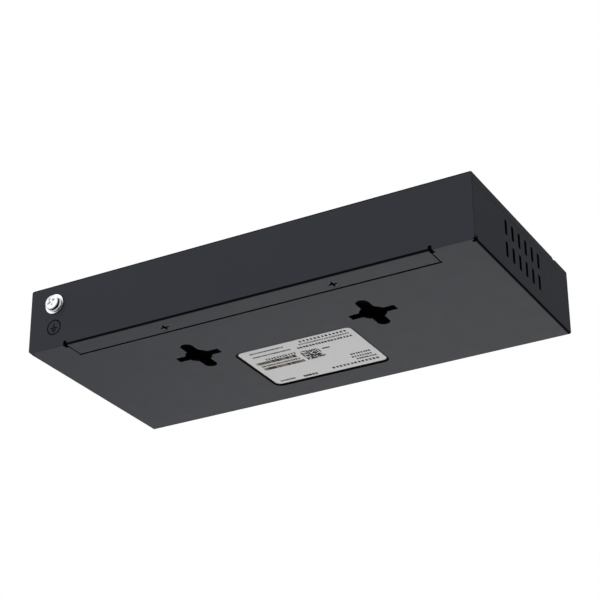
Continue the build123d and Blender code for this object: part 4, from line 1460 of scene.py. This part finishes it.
@dataclass
class Studio:
    """The camera, the lamps, the world and the floor, with all lengths in metres unless their names say otherwise.

    The camera looks up at the underside, so the floor lies below the camera and the case hangs above it.

    Attributes:
        eye: The camera's place.
        right: The camera's own x axis.
        up: The camera's own y axis.
        lens_mm: Focal length.
        sensor_mm: Width of the sensor.
        clip: Nearest and furthest distance that the camera sees.
        target: The place that the lamps face.
        ambient: Strength of the world's plain light.
        mirrored: Strength of the background as gloss shows it, in front of the case and behind it.
        mirrored_span: Share of a ray's direction along Y at which each of these two is reached.
        floor_z: Height of the floor.
        floor_radius: Radius of the floor.
        floor_rings: Number of rings of points on it.
        floor_spokes: Number of points in a ring.
        floor_spacing: Power that sets the rings closer in the middle.
        floor_colour: sRGB hex colour of the floor.
        floor_glow: Strength of the light that the floor adds to its own where it is seen directly.
        floor_fade: Distances from the origin between which it fades to the white background.
        lamps: The lamps.
    """

    eye: Triple = (-0.31184, 0.55983, -0.30180)
    right: Triple = (-0.87308, -0.48755, -0.00579)
    up: Triple = (-0.22288, 0.38850, 0.89408)
    lens_mm: float = 110.34
    sensor_mm: float = 36.0
    clip: Pair = (0.01, 20.0)
    target: Triple = (0.0, 0.0, 0.0137)
    ambient: float = 0.35
    mirrored: Pair = (0.3, 0.9)
    mirrored_span: Pair = (-0.4, 0.7)
    floor_z: float = -0.75
    floor_radius: float = 3.0
    floor_rings: int = 12
    floor_spokes: int = 64
    floor_spacing: float = 1.5
    floor_colour: str = "#e6e6e6"
    floor_glow: float = 0.45
    floor_fade: Pair = (0.9, 1.7)
    lamps: tuple[Lamp, ...] = (
        Lamp("under_front_lamp", place=(0.15, -0.75, -0.62), size=(0.9, 0.6), power=6.4, colour="#fffcf6"),
        Lamp("rear_lamp", place=(0.75, 1.1, 0.25), size=(2.6, 2.1), power=12.2, colour="#eef3ff"),
        Lamp("side_lamp", place=(-1.1, -0.5, 0.5), size=(1.0, 1.0), power=0.8, colour="#e4ecff"),
        Lamp("top_lamp", place=(0.1, -0.1, 1.3), size=(1.2, 1.2), power=10.0),
    )

    def build_camera(self) -> None:
        """Place the camera from its own axes; it looks along their cross product, backwards."""
        x, y = Vector(self.right).normalized(), Vector(self.up).normalized()
        data = bpy.data.cameras.new("camera")
        data.sensor_width = self.sensor_mm
        data.lens = self.lens_mm
        data.clip_start, data.clip_end = self.clip
        camera = show("camera", data)
        camera.matrix_world = Matrix.Translation(self.eye) @ Matrix((x, y, x.cross(y))).transposed().to_4x4()
        bpy.context.scene.camera = camera

    def seen(self, tree: Tree) -> Socket:
        """Return 1 for rays from the camera and rays through clear plastic, and 0 for all others."""
        rays = add(tree, "LightPath").node.outputs
        return add(tree, "Math", rays["Is Camera Ray"], rays["Is Transmission Ray"], operation="MAXIMUM")

    def build_world(self) -> None:
        """Make the world: plain light, and a white background for the camera and through clear plastic.

        Its strength is the greatest of three: 1 where it is seen, ambient, and for gloss a value that climbs
        along Y from the first of mirrored to the second.
        """
        world = bpy.data.worlds.new("studio")
        bpy.context.scene.world = world
        tree = fresh_tree(world)
        along = add(tree, "SeparateXYZ", add(tree, "TexCoord", out="Generated"), out="Y")
        strength = add(tree, "MapRange", along, *self.mirrored_span, *self.mirrored)
        gloss = add(tree, "Math", add(tree, "LightPath", out="Is Glossy Ray"), strength, operation="MULTIPLY")
        level = add(tree, "Math", self.seen(tree), gloss, operation="MAXIMUM")
        level = add(tree, "Math", level, self.ambient, operation="MAXIMUM")
        add(tree, "OutputWorld", add(tree, "Background", linear(WHITE), level))

    def floor_material(self) -> bpy.types.Material:
        """Make the floor's material: matte and pale, and seen directly it glows and fades to white outwards.

        Returns:
            The material.
        """
        made = bpy.data.materials.new("pale_floor")
        tree = fresh_tree(made)
        matte = add(tree, "BsdfDiffuse", linear(self.floor_colour))
        glow = add(tree, "Emission", linear(WHITE), self.floor_glow)
        near = add(tree, "AddShader", matte, glow)
        away = add(tree, "VectorMath", add(tree, "TexCoord", out="Object"), operation="LENGTH")
        fade = add(tree, "MapRange", away, *self.floor_fade, interpolation_type="SMOOTHSTEP")
        fading = add(tree, "MixShader", fade, near, add(tree, "Emission", linear(WHITE), 1.0))
        add(tree, "OutputMaterial", add(tree, "MixShader", self.seen(tree), matte, fading))
        return made

    def build_floor(self) -> None:
        """Make the floor: a disc of rings round the origin, closer in the middle.

        A ring's radius is floor_radius times its share of the rings to the power of floor_spacing.
        """
        share = np.linspace(0, 1, self.floor_rings + 1)[1:, None]
        r = self.floor_radius * share ** self.floor_spacing
        theta = np.linspace(0, 2 * np.pi, self.floor_spokes, endpoint=False)[None, :]
        z = np.full((self.floor_rings, self.floor_spokes), self.floor_z)
        points = np.stack([r * np.cos(theta), r * np.sin(theta), z], axis=-1).reshape(-1, 3)
        quads = grid_quads(self.floor_rings, self.floor_spokes, False, True)
        mesh = bpy.data.meshes.new("floor")
        mesh.from_pydata(points.tolist(), [], quads.tolist() + [list(range(self.floor_spokes))])
        mesh.materials.append(self.floor_material())
        floor = show("floor", mesh)

    def build(self) -> None:
        """Build the camera, the world, the floor and the lamps."""
        self.build_camera()
        self.build_world()
        self.build_floor()
        for lamp in self.lamps:
            lamp.build(Vector(self.target))
        bpy.context.scene.view_settings.view_transform = "Standard"


def main() -> None:
    """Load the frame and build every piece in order."""
    logging.basicConfig(level=logging.INFO, format="%(name)s: %(message)s")
    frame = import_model()
    Studio().build()
    made: dict[str, bpy.types.Material] = {}
    Dressing().dress(frame["nodes"], made)
    GroundTerminal().build(made[BRIGHT_NICKEL.name], SIGN_INK.build())
    CoverScrews().build(made[SCREW_OXIDE.name])
    LabelPrint().build(made[LABEL_FILM.name], LABEL_INK.build(), LABEL_TINT.build())


if __name__ == "__main__":
    main()
